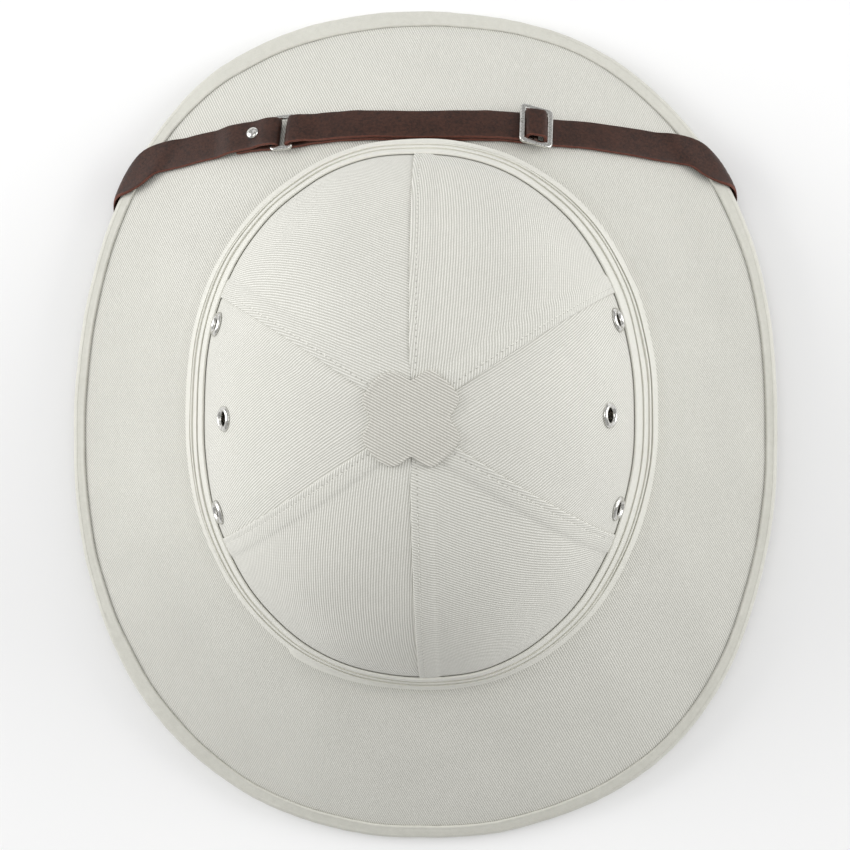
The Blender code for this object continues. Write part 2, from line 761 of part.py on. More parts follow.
def make_anchor(course, side, mark, strap, shell, look):
    """Hidden rivet through the strap's end into the crown's wall."""
    frame = strap_frame(course, mark, 0)
    top = STRAP_LOW + STRAP_WALL / 2 + STRAP_GAP
    profile = ((0, -RIVET_DEPTH), (RIVET_SHANK, -RIVET_DEPTH), (RIVET_SHANK, top), (RIVET_HEAD, top),
               (RIVET_HEAD, top + RIVET_RISE / 2), (0, top + RIVET_RISE))
    turned_solid(f"strap_anchor_{side}", profile, EYELET_SIDES, frame, look)
    drill(f"cutter_anchor_{side}", RIVET_SHANK + GAP, -RIVET_DEPTH - GAP, 2 * top, frame, EYELET_SIDES,
          (strap, shell), look)


def build():
    clear_scene()
    pith = material("moulded pith", (196, 184, 158), 0.9)
    cloth = material("stone twill cloth", (214, 212, 202), 0.9)
    band_cloth = material("band cloth", (224, 222, 212), 0.9)
    leather = material("brown leather", (76, 60, 53), 0.55)
    nickel = material("nickel", (200, 198, 192), 0.25, 1.0)

    shell = make_shell(pith)
    panels = make_panels(cloth)
    make_brim_cover(cloth)
    make_binding(cloth)
    make_band(band_cloth)
    make_patch(cloth)
    make_eyelets(nickel, shell, panels)

    course = StrapCourse()
    ring_mark = course.mark_at(strap_place(RING_ASIDE, STRAP_COURSE[-1][1])[0])
    slide_mark = course.mark_at(strap_place(-SLIDE_ASIDE, STRAP_COURSE[-1][1])[0])
    short = make_strap_short(course, ring_mark, leather)
    long = make_strap_long(course, ring_mark, slide_mark, leather)
    make_strap_metal(course, ring_mark, slide_mark, nickel)
    make_stud(course, ring_mark - STUD_FROM_RING, short, nickel)
    make_anchor(course, "left", RIVET_FROM_END, short, shell, nickel)
    make_anchor(course, "right", course.length - RIVET_FROM_END, long, shell, nickel)
    bpy.context.view_layer.update()


build()
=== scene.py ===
"""Looks of the pith helmet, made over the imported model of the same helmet.

Metres, +Z up, the front of the helmet towards -Y. `turn` is an angle round the helmet in
degrees: 0 is the left side (+X), 90 the back and 270 the front. `row` runs down the outer
cloth from the apex (0) over the crown's foot (10) to the edge of the brim (15). `lift` is a
height above the outer cloth.
"""
import math

import bmesh
import bpy
import numpy as np
from mathutils import Matrix, Vector


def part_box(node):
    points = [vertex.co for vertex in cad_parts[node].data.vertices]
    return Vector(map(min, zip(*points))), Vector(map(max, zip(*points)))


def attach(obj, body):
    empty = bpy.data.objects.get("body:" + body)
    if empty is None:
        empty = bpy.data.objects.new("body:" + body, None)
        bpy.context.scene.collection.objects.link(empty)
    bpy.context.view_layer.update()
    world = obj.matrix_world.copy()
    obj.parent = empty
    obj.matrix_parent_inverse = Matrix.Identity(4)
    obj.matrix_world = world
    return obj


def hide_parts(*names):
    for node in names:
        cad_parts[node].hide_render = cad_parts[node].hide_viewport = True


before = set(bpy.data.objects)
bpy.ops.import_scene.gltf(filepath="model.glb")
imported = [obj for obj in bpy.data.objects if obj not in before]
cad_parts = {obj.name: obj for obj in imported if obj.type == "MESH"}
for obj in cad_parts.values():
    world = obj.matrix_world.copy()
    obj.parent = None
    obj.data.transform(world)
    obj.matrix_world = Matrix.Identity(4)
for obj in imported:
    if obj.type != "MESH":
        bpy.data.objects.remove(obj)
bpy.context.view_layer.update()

MM = 0.001

# Helmet, with the model's values
RIM_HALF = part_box("brim_cover")[1]
CROWN_LENGTH = 0.2073
CROWN_WIDTH = 0.1772
CROWN_HEIGHT = 0.0905
CROWN_FORWARD = 0.0045
BRIM_DROP = 0.042
RIM_ARCH = 0.013
ARCH_EASE = 1.6
CROWN_SQUARE = 2.15
RIM_SQUARE_FRONT = 2.22
RIM_SQUARE_BACK = 2.35
HELMET_WIDTH = 0.288
HELMET_LENGTH = 0.343

# Walls and clearances
GAP = 0.0003
SHELL_WALL = 0.003
CLOTH = 0.001
STRAP_GAP = 0.0007
STRAP_EASE = 0.3
BAR_GAP = 0.00045
STACK = CLOTH + GAP + SHELL_WALL
SKIN_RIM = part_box("pith_shell")[1].z + CLOTH + GAP - CROWN_HEIGHT - BRIM_DROP

# Panels, binding, band and patch
TURNS_OF_SEAMS = (-26, 26, 90, 154, 206, 270)
BINDING_WALL = 0.0011
BINDING_LEG = 0.0065
PLY = 0.001
PATCH_LOBE = 0.0181
PATCH_NOTCH = 0.0133
EDGE_OUTER = STACK / 2 + GAP + BINDING_WALL
EDGE_INNER = STACK / 2 + GAP

# Eyelets
EYELET_RADIUS = 0.00475
EYELET_HOLE = 0.0025
EYELET_BARREL = 0.0032
EYELET_RISE = 0.0009
EYELET_TURN = 19.7
EYELET_CLEAR = 0.0005
EYELET_CLIMB = 0.0186

# Chin strap and its metal
STRAP_WIDTH = 0.0127
STRAP_WALL = 0.0016
BAR = 0.0014
RING_LENGTH = 0.0096
RING_BREADTH = 0.0168
RING_BAR = 0.0018
SLIDE_LENGTH = 0.0140
SLIDE_BREADTH = 0.0190
SLIDE_BAR = 0.0024
SLIDE_MIDDLE_BAR = 0.0020
TAIL_LENGTH = 0.0165
RING_ASIDE = 0.054
SLIDE_ASIDE = 0.046
STUD_FROM_RING = 0.0126
STUD_RADIUS = 0.0026
STUD_SHANK = 0.0012
STUD_RISE = 0.0016
RIVET_HEAD = 0.0045
RIVET_SHANK = 0.0017
RIVET_DEPTH = 0.0018
RIVET_RISE = 0.0012
RIVET_FROM_END = 0.007
# The leather climbs over a longer stretch than in the model, where it is 0.0045
STRAP_CLIMB = 0.009
ANCHOR_RISE = 0.018
STRAP_LOW = STRAP_GAP + STRAP_WALL / 2
STRAP_HIGH = STRAP_LOW + STRAP_WALL + GAP
BAR_STEP = STRAP_WALL / 2 + BAR_GAP + BAR / 2
# The folds lie closer round the ring's bars than in the model
FOLD_OUT = RING_BAR / 2 + BAR_GAP / 3 + STRAP_WALL / 2
ROUND_EDGE = math.pi * (EDGE_OUTER + STRAP_LOW)
FRONT_FOOT = CROWN_FORWARD + CROWN_LENGTH / 2

# Crown profile from the apex down: shares of the crown's height, width and length
CROWN_ROWS = (
    # drop, wide, long
    (0.000, 0.000, 0.000),
    (0.025, 0.212, 0.238),
    (0.080, 0.367, 0.408),
    (0.160, 0.506, 0.557),
    (0.260, 0.631, 0.685),
    (0.370, 0.733, 0.785),
    (0.480, 0.812, 0.860),
    (0.590, 0.875, 0.918),
    (0.700, 0.923, 0.957),
    (0.850, 0.971, 0.985),
    (1.000, 1.000, 1.000),
)
# Brim profile from the crown's foot out: shares of the brim's reach and drop
BRIM_ROWS = (
    # out, down
    (0.18, 0.165),
    (0.30, 0.275),
    (0.54, 0.515),
    (0.78, 0.760),
    (1.00, 1.000),
)
# Rows of the edges; the panels reach further up under the patch than in the model, where it is 0.55
PANEL_TOP = 0.42
BAND_TOP = 8.0
PANEL_FOOT = 9.6
COVER_TOP = 10.0
BAND_FOOT = 10.25
BRIM_EDGE = 15

# The strap's middle line, as the model has it
STRAP_COURSE = (
    # aside, ahead
    (0.4135, -0.081),
    (0.376, 0.004),
    (0.320, 0.050),
    (0.243, 0.100),
    (0.150, 0.136),
    (0.000, 0.143),
)
STRAP_RETURN = (
    # back, inward
    (5.0, 0.00),
    (13.5, 0.27),
    (22.0, 0.54),
    (28.5, 0.78),
    (32.0, 1.00),
)
# The long strap's way through the slide, steeper at the side bars than in the model
SLIDE_WEAVE = (
    # aside, climb
    (1.00, 0.00),
    (0.80, 0.02),
    (0.70, 0.20),
    (0.64, 0.52),
    (0.57, 0.82),
    (0.40, 0.97),
    (0.00, 1.00),
    (-0.40, 0.97),
    (-0.57, 0.82),
    (-0.64, 0.52),
    (-0.70, 0.20),
    (-0.80, 0.02),
    (-1.00, 0.00),
)


def smooth_step(value, start, end):
    share = np.clip((value - start) / (end - start), 0, 1)
    return share * share * (3 - 2 * share)


def lerp(start, end, part):
    return start + (end - start) * part


def unit(vectors):
    return vectors / np.linalg.norm(vectors, axis=-1, keepdims=True)


def way_along(points):
    """Distance from the first point to each one, from point to point."""
    return np.concatenate([[0], np.cumsum(np.linalg.norm(np.diff(points, axis=0), axis=1))])


def there_and_back(grid):
    """A grid for both sides of a cloth: out on top and back below."""
    return np.concatenate([grid, grid[:, ::-1]], 1)


def turned_to(x, y, degrees):
    """Coordinates along and across a direction given in degrees from +X."""
    lines = math.radians(degrees)
    return x * math.cos(lines) + y * math.sin(lines), y * math.cos(lines) - x * math.sin(lines)


def signed_power(value, power):
    return np.sign(value) * np.abs(value) ** power


def profile_rows():
    """Each row's half width, half length, middle, height, arch and squareness front and back."""
    crown_half = CROWN_WIDTH / 2, CROWN_LENGTH / 2
    rows = []
    for drop, wide, long in CROWN_ROWS:
        rows.append((wide * crown_half[0], long * crown_half[1], -CROWN_FORWARD,
                     SKIN_RIM + BRIM_DROP + (1 - drop) * CROWN_HEIGHT, 0, CROWN_SQUARE, CROWN_SQUARE))
    for out, down in BRIM_ROWS:
        rows.append((lerp(crown_half[0], RIM_HALF.x, out), lerp(crown_half[1], RIM_HALF.y, out),
                     -CROWN_FORWARD * (1 - out), SKIN_RIM + BRIM_DROP * (1 - down),
                     RIM_ARCH * out ** ARCH_EASE,
                     lerp(CROWN_SQUARE, RIM_SQUARE_FRONT, out), lerp(CROWN_SQUARE, RIM_SQUARE_BACK, out)))
    rows = np.array(rows)
    before = rows[1] * (-1, -1, 1, 1, 1, 1, 1)
    after = 2 * rows[-1] - rows[-2]
    return np.vstack([before, rows, after])


PROFILE = profile_rows()
# Where the brim of the real helmet runs out past its even outline or falls short of it
BRIM_BULGES = (
    # turn, out, spread in degrees
    (90, 0.0010, 13),
    (160, -0.0008, 12),
    (218, 0.0005, 22),
    (262, -0.0008, 12),
    (306, 0.0014, 14),
    (339, -0.0014, 13),
    (8, 0.0006, 12),
    (58, -0.0006, 18),
)


def brim_bulge(turn):
    """How far the rim stands out past its even outline."""
    total = 0
    for middle, out, spread in BRIM_BULGES:
        away = (turn - middle + 180) % 360 - 180
        total = total + out * np.exp(-(away / spread) ** 2)
    return total


def curve_through(points, places):
    """Smooth values at fractional places; the first and last points only steer the ends."""
    places = np.asarray(places, float)
    index = np.clip(np.floor(places).astype(int), 0, len(points) - 4)
    part = (places - index)[..., None]
    before, start, end, after = (points[index + step] for step in range(4))
    return 0.5 * (2 * start + (end - before) * part
                  + (2 * before - 5 * start + 4 * end - after) * part ** 2
                  + (3 * start - before - 3 * end + after) * part ** 3)


def cloth_point(turn, row):
    """Points of the outer cloth surface."""
    turn, row = np.broadcast_arrays(np.radians(turn), row)
    wide, long, middle, height, arch, front, back = np.moveaxis(curve_through(PROFILE, row), -1, 0)
    cosine, sine = np.cos(turn), np.sin(turn)
    power = 2 / np.where(sine < 0, front, back)
    out = 1 + smooth_step(row, 10.5, BRIM_EDGE) * brim_bulge(np.degrees(turn)) / RIM_HALF.x
    wide, long = wide * out, long * out
    return np.stack([wide * signed_power(cosine, power), middle + long * signed_power(sine, power),
                     height + arch * cosine ** 2], -1)


def cloth_down(turn, row):
    return cloth_point(turn, row + 0.01) - cloth_point(turn, row - 0.01)


def cloth_normal(turn, row):
    """Outward normals of the cloth surface."""
    row = np.maximum(row, 0.02)
    along = cloth_point(turn + 0.2, row) - cloth_point(turn - 0.2, row)
    return unit(np.cross(cloth_down(turn, row), along))


def ripple_waves():
    """Height, length, heading and phase of a few long waves in the moulded wall."""
    chance = np.random.default_rng(11)
    lengths = np.geomspace(0.022, 0.13, 7)
    return [(0.0022 * length, length, chance.uniform(0, np.pi), chance.uniform(0, 2 * np.pi))
            for length in lengths]


RIPPLES = ripple_waves()


def ripple(points):
    """Slight unevenness of the wall, the same for each layer over it."""
    total = 0
    for height, length, heading, phase in RIPPLES:
        along = points[..., 0] * math.cos(heading) + points[..., 1] * math.sin(heading)
        total = total + height * np.sin(2 * np.pi * along / length + phase)
    return total


def raised(turn, row, lift):
    points = cloth_point(turn, row)
    return points + cloth_normal(turn, row) * (np.asarray(lift) + ripple(points))[..., None]


def edge_point(turn, angle, radius):
    """Points round the brim's edge: angle 0 is on top, 90 outside and 180 underneath."""
    rim = np.full(np.shape(turn), float(BRIM_EDGE))
    normal = cloth_normal(turn, rim)
    down = cloth_down(turn, rim)
    outward = unit(down - normal * (down * normal).sum(-1, keepdims=True))
    lean = np.radians(angle)
    reach = np.cos(lean)[..., None] * normal + np.sin(lean)[..., None] * outward
    return raised(turn, rim, -STACK / 2) + reach * np.asarray(radius)[..., None]


def row_up(turn, start, distance):
    """Rows that lie a distance up from another row, measured along the cloth."""
    turn, distance = np.broadcast_arrays(np.asarray(turn, float), np.asarray(distance, float))
    rows = np.linspace(start, start - 8, 27)
    points = cloth_point(turn[..., None], rows)
    steps = np.linalg.norm(np.diff(points, axis=-2), axis=-1)
    marks = np.concatenate([np.zeros(turn.shape + (1,)), np.cumsum(steps, -1)], -1).reshape(-1, 27)
    found = [np.interp(d, mark, rows) for d, mark in zip(distance.ravel(), marks)]
    return np.array(found).reshape(turn.shape)


def dome_place(across, ahead):
    """Turns and rows of points of the cloth given by their place seen from above."""
    across, ahead = np.broadcast_arrays(np.asarray(across, float), np.asarray(ahead, float))
    low, high = np.zeros(across.shape), np.full(across.shape, float(BRIM_EDGE))
    for _ in range(40):
        row = (low + high) / 2
        wide, long, middle, _, _, front, back = np.moveaxis(curve_through(PROFILE, row), -1, 0)
        power = np.where(ahead < middle, front, back)
        inside = np.abs(across / wide) ** power + np.abs((ahead - middle) / long) ** power < 1
        low, high = np.where(inside, low, row), np.where(inside, row, high)
    turn = np.degrees(np.arctan2(signed_power((ahead - middle) / long, power / 2),
                                 signed_power(across / wide, power / 2)))
    return turn % 360, row


def wave_round(turn, seed, counts, height):
    """A closed irregular wave round the helmet, from a few whole numbers of waves."""
    chance = np.random.default_rng(seed)
    total = 0
    for count in counts:
        total = total + np.sin(np.radians(turn) * count + chance.uniform(0, 2 * np.pi)) / len(counts) ** 0.5
    return height * total


# Meshes

def finish_piece(name, mesh, look, replaced=(), smooth_angle=50):
    """Object that rides on the helmet's one body, shaded smooth up to an angle."""
    mesh.shade_smooth()
    mesh.set_sharp_from_angle(angle=math.radians(smooth_angle))
    mesh.materials.append(look)
    piece = bpy.data.objects.new(name, mesh)
    bpy.context.scene.collection.objects.link(piece)
    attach(piece, "root")
    if replaced:
        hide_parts(*replaced)
    return piece


def turned_out(points, faces):
    """Whether the faces of a closed mesh point outwards."""
    corners = points[faces]
    volume = sum(np.einsum("ij,ij->i", corners[:, 0], np.cross(corners[:, k], corners[:, k + 1])).sum()
                 for k in (1, 2))
    return volume > 0


def lofted(name, sections, around=False, ring=True, cloth=None, marks=None):
    """Closed mesh through sections, an array of section by point by 3.

    `around` joins the last section to the first; open ends are capped. `ring` joins each
    section's last point to its first; otherwise those points lie on an axis and are merged.
    `cloth` holds coordinates in the flat cloth and `marks` other values, one for each point.
    """
    count, size = sections.shape[:2]
    spans, steps = (count if around else count - 1), (size if ring else size - 1)
    section, point = np.meshgrid(np.arange(spans), np.arange(steps), indexing="ij")
    corners = [(section, point), (section + 1, point), (section + 1, point + 1), (section, point + 1)]
    faces = np.stack([(s % count) * size + p % size for s, p in corners], -1).reshape(-1, 4)
    places = np.stack([s * (size + 1) + p for s, p in corners], -1).reshape(-1, 4)
    if not around:
        strip = np.array([(p, p + 1, size - 2 - p, size - 1 - p) for p in range(size // 2 - 1)])
        last = (count - 1) * size + strip[:, ::-1]
        faces = np.vstack([faces, strip, last])
        places = np.vstack([places, strip, (count - 1) * (size + 1) + strip[:, ::-1]])
    points = sections.reshape(-1, 3)
    if not turned_out(points, faces):
        faces, places = faces[:, ::-1], places[:, ::-1]
    mesh = bpy.data.meshes.new(name)
    mesh.from_pydata(points.tolist(), [], faces.tolist())
    if cloth is not None:
        if around and len(cloth) == count:
            cloth = np.concatenate([cloth, cloth[:1]], 0)
        if cloth.shape[1] == size:
            cloth = np.concatenate([cloth, cloth[:, :1]], 1)
        layer = mesh.uv_layers.new(name="cloth")
        layer.data.foreach_set("uv", cloth.reshape(-1, 2)[places.ravel()].astype(np.float32).ravel())
    for mark, values in (marks or {}).items():
        attribute = mesh.attributes.new(mark, "FLOAT", "POINT")
        attribute.data.foreach_set("value", np.asarray(values, np.float32).ravel())
    if not ring:
        weld(mesh)
    return mesh


def weld(mesh):
    """Merge the points that lie on an axis."""
    data = bmesh.new()
    data.from_mesh(mesh)
    bmesh.ops.remove_doubles(data, verts=data.verts, dist=1e-7)
    data.to_mesh(mesh)
    data.free()


def copies(name, points, faces, frames):
    """Mesh with a copy of a small closed shape in each frame, a 4 by 4 matrix."""
    frames = np.asarray(frames)
    placed = np.einsum("nij,pj->npi", frames[:, :3, :3], points) + frames[:, None, :3, 3]
    stepped = faces[None] + (np.arange(len(frames)) * len(points))[:, None, None]
    mesh = bpy.data.meshes.new(name)
    mesh.from_pydata(placed.reshape(-1, 3).tolist(), [], stepped.reshape(-1, faces.shape[1]).tolist())
    return mesh


def frames_on(origins, normals, along):
    """Matrices with Z along the normals and X near the given directions."""
    z = unit(normals)
    x = unit(along - z * (z * along).sum(-1, keepdims=True))
    y = np.cross(z, x)
    made = np.zeros(origins.shape[:-1] + (4, 4))
    made[..., :3, 0], made[..., :3, 1], made[..., :3, 2], made[..., :3, 3] = x, y, z, origins
    made[..., 3, 3] = 1
    return made


def turned_sections(profile, sides, place):
    """Sections of a shape turned about the frame's Z from (radius, height) points."""
    angles = 2 * np.pi * np.arange(sides) / sides
    radius, height = np.array(profile).T
    local = np.stack([radius * np.cos(angles)[:, None], radius * np.sin(angles)[:, None],
                      np.broadcast_to(height, (sides, len(height)))], -1)
    return local @ place[:3, :3].T + place[:3, 3]


def turned_mesh(name, profile, sides, place):
    ring = profile[0][0] > 0
    return lofted(name, turned_sections(profile, sides, place), around=True, ring=ring)


# Materials

class Look:
    """Short way to build a material's nodes."""

    def __init__(self, name):
        self.material = bpy.data.materials.new(name)
        self.material.use_nodes = True
        self.tree = self.material.node_tree
        self.shader = self.tree.nodes["Principled BSDF"]

    def add(self, kind, inputs=(), **settings):
        node = self.tree.nodes.new(kind)
        for key, value in settings.items():
            setattr(node, key, value)
        for key, value in dict(inputs).items():
            self.set(node.inputs[key], value)
        return node.outputs[0]

    def set(self, socket, value):
        if isinstance(value, bpy.types.NodeSocket):
            self.tree.links.new(value, socket)
        else:
            socket.default_value = value

    def math(self, operation, *values, clamp=False):
        return self.add("ShaderNodeMath", dict(enumerate(values)), operation=operation, use_clamp=clamp)

    def swing(self, value, gain):
        """A value from 0 to 1 turned into one about zero."""
        return self.math("MULTIPLY", self.math("SUBTRACT", value, 0.5), gain)

    def ease(self, value, start, end, low=0.0, high=1.0):
        """Smooth change from low to high while the value goes from start to end."""
        return self.add("ShaderNodeMapRange", {0: value, 1: start, 2: end, 3: low, 4: high},
                        interpolation_type="SMOOTHSTEP")

    def mix(self, factor, first, second, blend="MIX"):
        node = self.tree.nodes.new("ShaderNodeMix")
        node.data_type = "RGBA"
        node.blend_type = blend
        for socket, value in zip((node.inputs[0], node.inputs[6], node.inputs[7]), (factor, first, second)):
            self.set(socket, value)
        return node.outputs[2]

    def noise(self, vector, scale, detail=2.0, rough=0.5):
        return self.add("ShaderNodeTexNoise", {"Vector": vector, "Scale": scale, "Detail": detail,
                                               "Roughness": rough})

    def stretched(self, vector, x, y, z=1.0):
        return self.add("ShaderNodeVectorMath", {0: vector, 1: (x, y, z)}, operation="MULTIPLY")

    def place(self):
        return self.tree.nodes.new("ShaderNodeTexCoord").outputs["Object"]

    def cloth(self):
        return self.add("ShaderNodeUVMap", uv_map="cloth")

    def mark(self, name):
        return self.add("ShaderNodeAttribute", attribute_name=name).node.outputs["Fac"]

    def bump(self, height, distance, strength=1.0, normal=None):
        inputs = {"Height": height, "Distance": distance, "Strength": strength}
        if normal is not None:
            inputs["Normal"] = normal
        return self.add("ShaderNodeBump", inputs)

    def shade(self, **sockets):
        for key, value in sockets.items():
            self.set(self.shader.inputs[key.replace("_", " ")], value)
        return self.material


def linear(red, green, blue):
    """Linear colour from an sRGB one given as 0 to 255."""
    return tuple(((c / 255 + 0.055) / 1.055) ** 2.4 for c in (red, green, blue)) + (1.0,)


STITCH_PITCH = 0.0023
STITCH_ASIDE = 0.0019
STITCH_LENGTH = 0.0016
STITCH_RADIUS = 0.00016
TWILL_PITCH = 0.00095
TWILL_FLOAT = 0.0013


def twill_look(name, light, dark, with_hole_shade=False):
    """Cotton twill: raised slanting lines of short yarns, uneven, with faint blotches, and painted shade in
    the valleys between the lines.
    """
    look = Look(name)
    cloth = look.cloth()
    drift = look.noise(cloth, 90.0, 3.0)
    along = look.add("ShaderNodeSeparateXYZ", {0: cloth})
    across = along.node.outputs[1]
    bent = look.math("ADD", across, look.swing(drift, 0.0005))
    lines = look.math("MULTIPLY", bent, 2 * math.pi / TWILL_PITCH)
    wale = look.ease(look.math("SINE", lines), -0.9, 0.75)
    float_place = look.math("ADD", look.math("MULTIPLY", along, 2 * math.pi / TWILL_FLOAT),
                            look.math("MULTIPLY", lines, 0.37))
    yarn = look.math("MULTIPLY_ADD", look.math("SINE", float_place), 0.5, 0.5)
    slub = look.noise(look.stretched(cloth, 260.0, 1500.0), 1.0, 3.0, 0.65)
    blotch = look.noise(look.place(), 28.0, 4.0, 0.6)
    # Painted shade: the colour darkens in the valleys between the twill lines, which also give the bump its
    # height; the slub adds the yarns' own tone.
    ridge_height_and_valley_shade = look.math("MULTIPLY", wale, look.math("MULTIPLY_ADD", yarn, 0.2, 0.8))
    shade = look.math("ADD", ridge_height_and_valley_shade, look.swing(slub, 0.55), clamp=True)
    colour = look.mix(shade, dark, light)
    tone = look.math("MULTIPLY_ADD", blotch, 0.12, 0.94)
    colour = look.mix(1.0, colour, tone, "MULTIPLY")
    # Seamed panels get painted shade at the needle holes beside the folds
    if with_hole_shade:
        colour = seam_shade(look, colour)
    normal = look.bump(look.math("ADD", ridge_height_and_valley_shade, look.math("MULTIPLY", slub, 0.5)), 0.00016, 0.8)
    return look.shade(Base_Color=colour, Roughness=0.92, Normal=normal, Sheen_Weight=0.15)


def seam_shade(look, colour):
    """Painted shade of the needle holes: dark dots in a row beside each seam's fold."""
    gap = look.mark("seam_gap")
    run = look.mark("seam_run")
    beat = look.math("SUBTRACT", look.math("FRACT", look.math("DIVIDE", run, STITCH_PITCH)), 0.5)
    off_side = look.math("SUBTRACT", gap, STITCH_ASIDE)
    off_along = look.math("MULTIPLY", beat, STITCH_PITCH)
    distance = look.math("SQRT", look.math("ADD", look.math("MULTIPLY", off_side, off_side),
                                           look.math("MULTIPLY", off_along, off_along)))
    # Painted shade: dark dots where the needle holes dip into the cloth
    hole_shade = look.ease(distance, 0.00015, 0.00045, 0.45, 0.0)
    return look.mix(hole_shade, colour, linear(96, 92, 82))


def plain_look(name, light, dark, weave=2600.0):
    """Plain cotton tape: a fine even grain with soft lumps."""
    look = Look(name)
    place = look.place()
    grain = look.noise(place, weave, 2.0, 0.6)
    lumps = look.noise(place, 420.0, 3.0, 0.6)
    blotch = look.noise(place, 30.0, 3.0, 0.6)
    shade = look.math("ADD", look.math("MULTIPLY", grain, 0.6), look.math("MULTIPLY", lumps, 0.55),
                      clamp=True)
    colour = look.mix(look.math("ADD", shade, look.swing(blotch, 0.5), clamp=True), dark, light)
    normal = look.bump(look.math("ADD", grain, lumps), 0.00012, 0.6)
    return look.shade(Base_Color=colour, Roughness=0.9, Normal=normal, Sheen_Weight=0.15)


def pith_look():
    """Pressed fibre: warm, dull, with short darker fibres."""
    look = Look("pressed pith")
    place = look.place()
    fibres = look.noise(look.stretched(place, 380.0, 1200.0, 700.0), 1.0, 5.0, 0.7)
    patches = look.noise(place, 55.0, 4.0, 0.6)
    colour = look.mix(fibres, linear(150, 132, 100), linear(214, 200, 170))
    colour = look.mix(look.ease(patches, 0.35, 0.75, 0.0, 0.35), colour, linear(168, 150, 118))
    normal = look.bump(look.math("ADD", fibres, look.math("MULTIPLY", patches, 0.4)), 0.0004, 0.7)
    return look.shade(Base_Color=colour, Roughness=0.95, Normal=normal)


def leather_look():
    """Brown strap leather: satin face with fine grain, raw reddish cut edges."""
    look = Look("strap leather")
    place = look.place()
    cells = look.add("ShaderNodeTexVoronoi", {"Vector": place, "Scale": 1500.0},
                     feature="DISTANCE_TO_EDGE")
    grain = look.ease(cells, 0.0, 0.18)
    scuffs = look.noise(place, 160.0, 5.0, 0.65)
    wear = look.noise(place, 900.0, 3.0, 0.6)
    worn = look.math("ADD", look.math("MULTIPLY", scuffs, 0.4), look.math("MULTIPLY", wear, 0.6))
    face = look.mix(look.ease(worn, 0.25, 0.75), linear(32, 17, 11), linear(72, 43, 32))
    rim = look.ease(look.mark("edge"), 0.35, 0.9)
    raw = look.mix(wear, linear(76, 40, 32), linear(124, 74, 60))
    colour = look.mix(rim, face, raw)
    rough = look.math("MULTIPLY_ADD", scuffs, 0.25, 0.38)
    normal = look.bump(grain, 0.00006, 0.5, look.bump(scuffs, 0.0002, 0.5))
    return look.shade(Base_Color=colour, Roughness=rough, Normal=normal, Specular_IOR_Level=0.3)


def nickel_look():
    """Worn nickel plate: bright, with faint scratches and dull spots."""
    look = Look("worn nickel")
    place = look.place()
    spots = look.noise(place, 1500.0, 4.0, 0.6)
    scratches = look.noise(look.stretched(place, 4200.0, 500.0, 900.0), 1.0, 2.0, 0.5)
    colour = look.mix(look.ease(spots, 0.42, 0.72), linear(224, 223, 219), linear(168, 166, 159))
    rough = look.math("MULTIPLY_ADD", spots, 0.25, 0.08)
    normal = look.bump(scratches, 0.00003, 0.3)
    return look.shade(Base_Color=colour, Metallic=1.0, Roughness=rough, Normal=normal)


def floor_look():
    """Plain pale studio floor."""
    look = Look("studio floor")
    tone = look.noise(look.place(), 3.0, 2.0)
    colour = look.mix(tone, linear(246, 246, 246), linear(250, 250, 250))
    return look.shade(Base_Color=colour, Roughness=0.9)


CLOTH_LIGHT = linear(231, 230, 223)
# Dark end of the twill: darker yarns and the painted shade in the valleys between the lines
CLOTH_DARK_AND_VALLEY_SHADE = linear(191, 190, 181)
LOOKS = {
    "twill": twill_look("stone twill", CLOTH_LIGHT, CLOTH_DARK_AND_VALLEY_SHADE),
    "seamed": twill_look("seamed twill", CLOTH_LIGHT, CLOTH_DARK_AND_VALLEY_SHADE, with_hole_shade=True),
    # The patch's dark colour is likewise darker yarns and painted valley shade
    "patch": twill_look("patch twill", linear(224, 222, 214), linear(176, 174, 165)),
    "tape": plain_look("binding tape", linear(219, 218, 209), linear(189, 188, 178)),
    "band": plain_look("band cotton", linear(230, 229, 221), linear(206, 205, 196)),
    "thread": plain_look("pale thread", linear(238, 237, 230), linear(206, 205, 196), 6000.0),
    "pith": pith_look(),
    "leather": leather_look(),
    "nickel": nickel_look(),
}


# Crown panels

# Height of a seam's upper cloth by distance from the seam, and the dip of the lower cloth, in mm
SEAM_OVER = ((-0.50, 0.14), (-0.42, 0.38), (-0.28, 0.55), (-0.05, 0.64), (0.30, 0.68), (0.80, 0.64),
             (1.40, 0.56), (1.90, 0.48), (2.40, 0.56), (3.20, 0.58), (4.60, 0.52), (6.00, 0.44),
             (6.60, 0.32), (7.20, 0.12), (7.80, 0.02), (8.60, 0.00))
SEAM_UNDER = ((0.05, -0.15), (0.40, -0.15), (0.90, -0.08), (1.50, 0.00), (2.60, 0.00), (4.60, 0.00),
              (6.60, 0.00), (8.60, 0.00))
# Which panels lie on top at their first and last seam
LIES_OVER = ((False, False), (True, False), (True, True), (False, False), (True, True), (False, True))
# Directions of the twill lines seen from above, in degrees from +X
TWILL_LINES = (30, 82, 157, 29, 83, 155)
PANEL_ROWS = 104
PANEL_COLUMNS = 56


